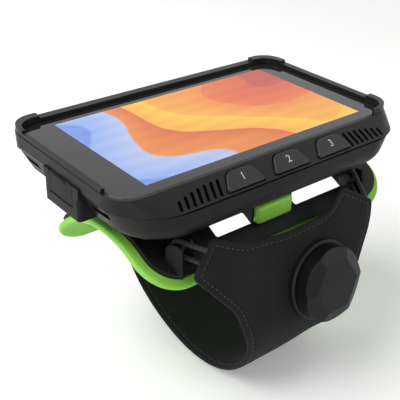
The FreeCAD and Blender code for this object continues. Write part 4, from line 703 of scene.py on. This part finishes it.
CUFF_OUTLINE = cuff_outline()
DIAL_X = 8.0
DIAL_Z = -25.5
DIAL_LENGTH = cuff_length_at(DIAL_Z, True)


def on_cuff(flat):
    """Wrap (x, length, height) points round the profile, with the cloth's slight unevenness."""
    x, length, height = flat[:, 0], flat[:, 1], flat[:, 2]
    from_dial = np.sqrt((x - DIAL_X) ** 2 + (length - DIAL_LENGTH) ** 2)
    free = smooth(from_dial, *STILL_BY_DIAL) * smooth(length, *STILL_BY_CLAMP)
    uneven = (LONG_WAVE * np.sin(x / 9.5 + 0.6) * np.sin(length / 13.0 + 1.1)
              + SHORT_WAVE * np.sin(x / 5.7 - length / 7.9))
    y, z, out_y, out_z = cuff_profile(np.clip(length, 0.0, CUFF_LENGTH))
    over = np.maximum(length - CUFF_LENGTH, 0.0)
    lifted = height + uneven * free
    return np.stack([x, y + out_y * lifted + WALL_UP.y * over,
                     z + out_z * lifted + WALL_UP.z * over], 1) * MM


def make_cuff():
    mesh = flat_pattern("cuff_band", [CUFF_OUTLINE], CUFF_THICK, CUFF_EDGE_R, CUFF_PITCH)
    flat = np.array([v.co for v in mesh.vertices])
    from_edge = distance_to(CUFF_OUTLINE, flat[:, :2])
    mark(mesh, "seam_mm", from_edge)

    def sewn(points):
        thinner = EDGE_SHARE + (1.0 - EDGE_SHARE) * smooth(from_edge, *EDGE_SOFTENS)
        return on_cuff(np.stack([points[:, 0], points[:, 1], points[:, 2] * thinner], 1))

    cuff = bent_piece("cuff_band", mesh, sewn, CUFF_CLOTH)
    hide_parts("strap_front", "strap_rear")
    return cuff


def stitch_places():
    """Where each stitch starts and where it ends, on a line inside the outline."""
    outline = np.array(CUFF_OUTLINE)
    ahead = np.roll(outline, -1, axis=0) - np.roll(outline, 1, axis=0)
    ahead /= np.linalg.norm(ahead, axis=1)[:, None]
    x, y = outline[:, 0], outline[:, 1]
    area = 0.5 * (x * np.roll(y, -1) - np.roll(x, -1) * y).sum()
    inward = np.stack([-ahead[:, 1], ahead[:, 0]], 1) * (1.0 if area > 0 else -1.0)
    line = outline + inward * STITCH_INSET
    # In a tight corner the line crosses itself: points that come nearer to the edge are left out
    line = line[distance_to(CUFF_OUTLINE, line) > STITCH_INSET - 0.12]
    steps = np.linalg.norm(np.diff(line, axis=0, append=line[:1]), axis=1)
    at = np.concatenate([[0.0], np.cumsum(steps)])
    closed = np.vstack([line, line[:1]])
    count = int(at[-1] / STITCH_PITCH)
    middles = (np.arange(count) + 0.5) * at[-1] / count

    def spot(length):
        return np.stack([np.interp(length, at, closed[:, i]) for i in (0, 1)], 1)

    return spot(middles - STITCH_HALF_LENGTH), spot(middles + STITCH_HALF_LENGTH)


def make_stitches():
    """Short raised stitches of thread on both faces of the band."""
    starts, ends = stitch_places()
    bm = bmesh.new()
    for face_side in (1.0, -1.0):
        height = face_side * (CUFF_THICK / 2.0 * STITCH_SEAT)
        for a, b in zip(starts, ends):
            rings = []
            for share, size in ((0.0, 0.45), (0.2, 0.9), (0.5, 1.0), (0.8, 0.9), (1.0, 0.45)):
                x, length = a + (b - a) * share
                direction = (b - a) / max(np.linalg.norm(b - a), 1e-6)
                side = np.array([-direction[1], direction[0]])
                # The stitch sinks towards both of its ends
                lift = STITCH_LIFT - 0.5 * (share - 0.5) ** 2
                ring = []
                for k in range(STITCH_SIDES):
                    angle = 2.0 * pi * k / STITCH_SIDES
                    offset = side * cos(angle) * STITCH_HALF_WIDTH * size
                    rise = height + face_side * (sin(angle) * STITCH_HALF_HEIGHT * size + lift)
                    ring.append((x + offset[0], length + offset[1], rise))
                rings.append([bm.verts.new(Vector(p)) for p in on_cuff(np.array(ring))])
            skin(bm, rings)
    mesh = bpy.data.meshes.new("cuff_stitches")
    smooth_into(bm, mesh)
    mesh.materials.append(THREAD)
    stitches = in_scene("cuff_stitches", mesh)
    return stitches


# Laces: a loop out of the panel, round each hook's post and back. The left one is 33.5 mm long and the right
# one 38.5 mm, and neither is declared as a cord


def make_lace(side):
    x, turn, dip = HOOKS[side]
    place = (Matrix.Translation((x, HOOK_Y, HOOK_Z)) @ Matrix.Rotation(radians(turn), 4, "Z")
             @ Matrix.Rotation(radians(dip), 4, "X"))
    forward = place.to_3x3() @ Vector((0, -1, 0))
    # How far the upper and the lower run go until they are in the middle of the front panel's cloth
    reaches = []
    for level in (LACE_REACH, -LACE_REACH):
        start = place @ Vector((0, 0, level))
        lean = WALL_UP.y / WALL_UP.z
        wall_y = WALL[1].x + (start.z - WALL[1].y) * lean
        reaches.append((wall_y - start.y) / (forward.y - lean * forward.z))
    local = []
    for k in range(LACE_RUN_STEPS):
        local.append(Vector((0, -reaches[0] * (1 - k / LACE_RUN_STEPS), LACE_REACH)))
    for k in range(LACE_TURN_STEPS + 1):
        angle = pi / 2 - pi * k / LACE_TURN_STEPS
        local.append(Vector((0, LACE_REACH * cos(angle), LACE_REACH * sin(angle))))
    for k in range(1, LACE_RUN_STEPS + 1):
        local.append(Vector((0, -reaches[1] * k / LACE_RUN_STEPS, -LACE_REACH)))
    spine = [place @ p for p in local]
    across = (place.to_3x3() @ Vector((1, 0, 0))).normalized()
    bm = bmesh.new()
    braid = []
    rings = []
    travelled = 0.0
    for i, point in enumerate(spine):
        before = spine[max(i - 1, 0)]
        after = spine[min(i + 1, len(spine) - 1)]
        along = (after - before).normalized()
        other = along.cross(across).normalized()
        if i:
            travelled += (point - before).length
        ring = []
        for k in range(LACE_SIDES):
            angle = 2 * pi * k / LACE_SIDES
            outward = across * (cos(angle) * LACE_R) + other * (sin(angle) * LACE_R)
            ring.append(bm.verts.new((point + outward) * MM))
            # The braid's pattern runs up one half of the cord and down the other, and so has no seam
            folded = k if k <= LACE_SIDES / 2 else LACE_SIDES - k
            braid.append((travelled, folded * 2 * pi * LACE_R / LACE_SIDES, 0.0))
        rings.append(ring)
    skin(bm, rings)
    mesh = bpy.data.meshes.new("lace_loop_" + side)
    smooth_into(bm, mesh)
    attribute = mesh.attributes.new("braid_mm", "FLOAT_VECTOR", "POINT")
    attribute.data.foreach_set("vector", np.array(braid, np.float32).reshape(-1))
    mesh.materials.append(LACE)
    lace = in_scene("lace_loop_" + side, mesh)
    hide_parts("lace_" + side)
    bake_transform(lace)


# Numerals: plain figures printed on the keys, on the sloped face


def make_numeral(index):
    down = Vector((0, -cos(FACE_TILT), -sin(FACE_TILT)))
    out = Vector((0, -sin(FACE_TILT), cos(FACE_TILT)))
    text = bpy.data.curves.new("key_numeral_" + str(index + 1), "FONT")
    text.body = str(index + 1)
    text.size = NUMERAL_SIZE * MM
    text.extrude = INK_THICK * MM
    text.align_x = "CENTER"
    text.align_y = "CENTER"
    text.materials.append(INK)
    numeral = in_scene("key_numeral_" + str(index + 1), text)
    face_top = Vector((KEY_X[index], FACE_TOP_Y, FACE_TOP_Z))
    where = (face_top + down * NUMERAL_DOWN + out * (KEY_PROUD + INK_THICK)) * MM
    turned = Matrix((Vector((1, 0, 0)), -down, out)).transposed().to_4x4()
    numeral.matrix_world = Matrix.Translation(where) @ turned
    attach(numeral, "key_" + str(index + 1))


make_saddle_pad()
cuff = make_cuff()
stitches = make_stitches()
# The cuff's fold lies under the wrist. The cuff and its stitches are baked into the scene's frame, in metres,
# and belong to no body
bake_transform(cuff)
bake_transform(stitches)
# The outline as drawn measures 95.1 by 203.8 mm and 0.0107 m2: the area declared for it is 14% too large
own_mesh(NODES["latch_spring"])
for side in HOOKS:
    make_lace(side)
for index in range(3):
    make_numeral(index)

# Studio: a pale sweep, a wide soft lamp above on the left, and two weak ones from the front
floor_corners = [(x * FLOOR_HALF, y * FLOOR_HALF, FLOOR_Z * MM)
                 for x, y in ((-1, -1), (1, -1), (1, 1), (-1, 1))]
floor_mesh = bpy.data.meshes.new("floor")
floor_mesh.from_pydata(floor_corners, [], [(0, 1, 2, 3)])
floor_mesh.materials.append(studio_floor("paper_sweep_matt"))
floor = in_scene("floor", floor_mesh)
LAMPS_LOOK_AT = Vector((0, 0, -0.01))


def soft_lamp(name, place, size, power):
    """A round lamp in metres and watts that looks at the piece's middle."""
    light = bpy.data.lights.new(name, "AREA")
    light.shape = "DISK"
    light.size = size
    light.energy = power
    lamp = in_scene(name, light)
    lamp.location = place
    lamp.rotation_euler = (LAMPS_LOOK_AT - Vector(place)).to_track_quat("-Z", "Y").to_euler()


soft_lamp("lamp_above_left", (-0.75, 0.35, 0.95), 1.3, 15.5)
soft_lamp("lamp_front_right", (0.85, -0.9, 0.6), 0.8, 1.8)
soft_lamp("lamp_front_left", (-0.9, -0.7, 0.25), 0.6, 2.0)

# White air: full strength where the camera, a reflection or clear glass sees it, 0.40 as light on the piece
world = bpy.data.worlds.new("studio_air")
world.use_nodes = True
sky = world.node_tree
sky.nodes.clear()
seen = add(sky, "ShaderNodeLightPath")
mirrored = add(sky, "ShaderNodeMath", {0: seen.outputs["Is Glossy Ray"],
                                       1: seen.outputs["Is Transmission Ray"]}, operation="MAXIMUM")
direct = add(sky, "ShaderNodeMath", {0: seen.outputs["Is Camera Ray"], 1: mirrored.outputs[0]},
             operation="MAXIMUM")
level = add(sky, "ShaderNodeMapRange", {"Value": direct.outputs[0], "To Min": 0.40, "To Max": 1.0})
air = add(sky, "ShaderNodeBackground", {"Color": linear("#FFFFFF"), "Strength": level.outputs["Result"]})
add(sky, "ShaderNodeOutputWorld", {"Surface": air.outputs[0]})
bpy.context.scene.world = world

# Camera at the photograph's angle: its right, up and back directions in the part's frame
right = Vector((0.775328, -0.630997, 0.026641))
up = Vector((0.293721, 0.397607, 0.869274))
back = Vector((-0.559102, -0.666147, 0.493613))
view = bpy.data.cameras.new("camera")
view.sensor_width = 36.0
view.lens = 70.2
view.clip_start = 0.01
camera = in_scene("camera", view)
camera.matrix_world = (Matrix.Translation(Vector((-197.60, -214.80, 157.98)) * MM)
                       @ Matrix((right, up, back)).transposed().to_4x4())
bpy.context.scene.camera = camera
bpy.context.scene.view_settings.view_transform = "Standard"

bpy.context.view_layer.update()
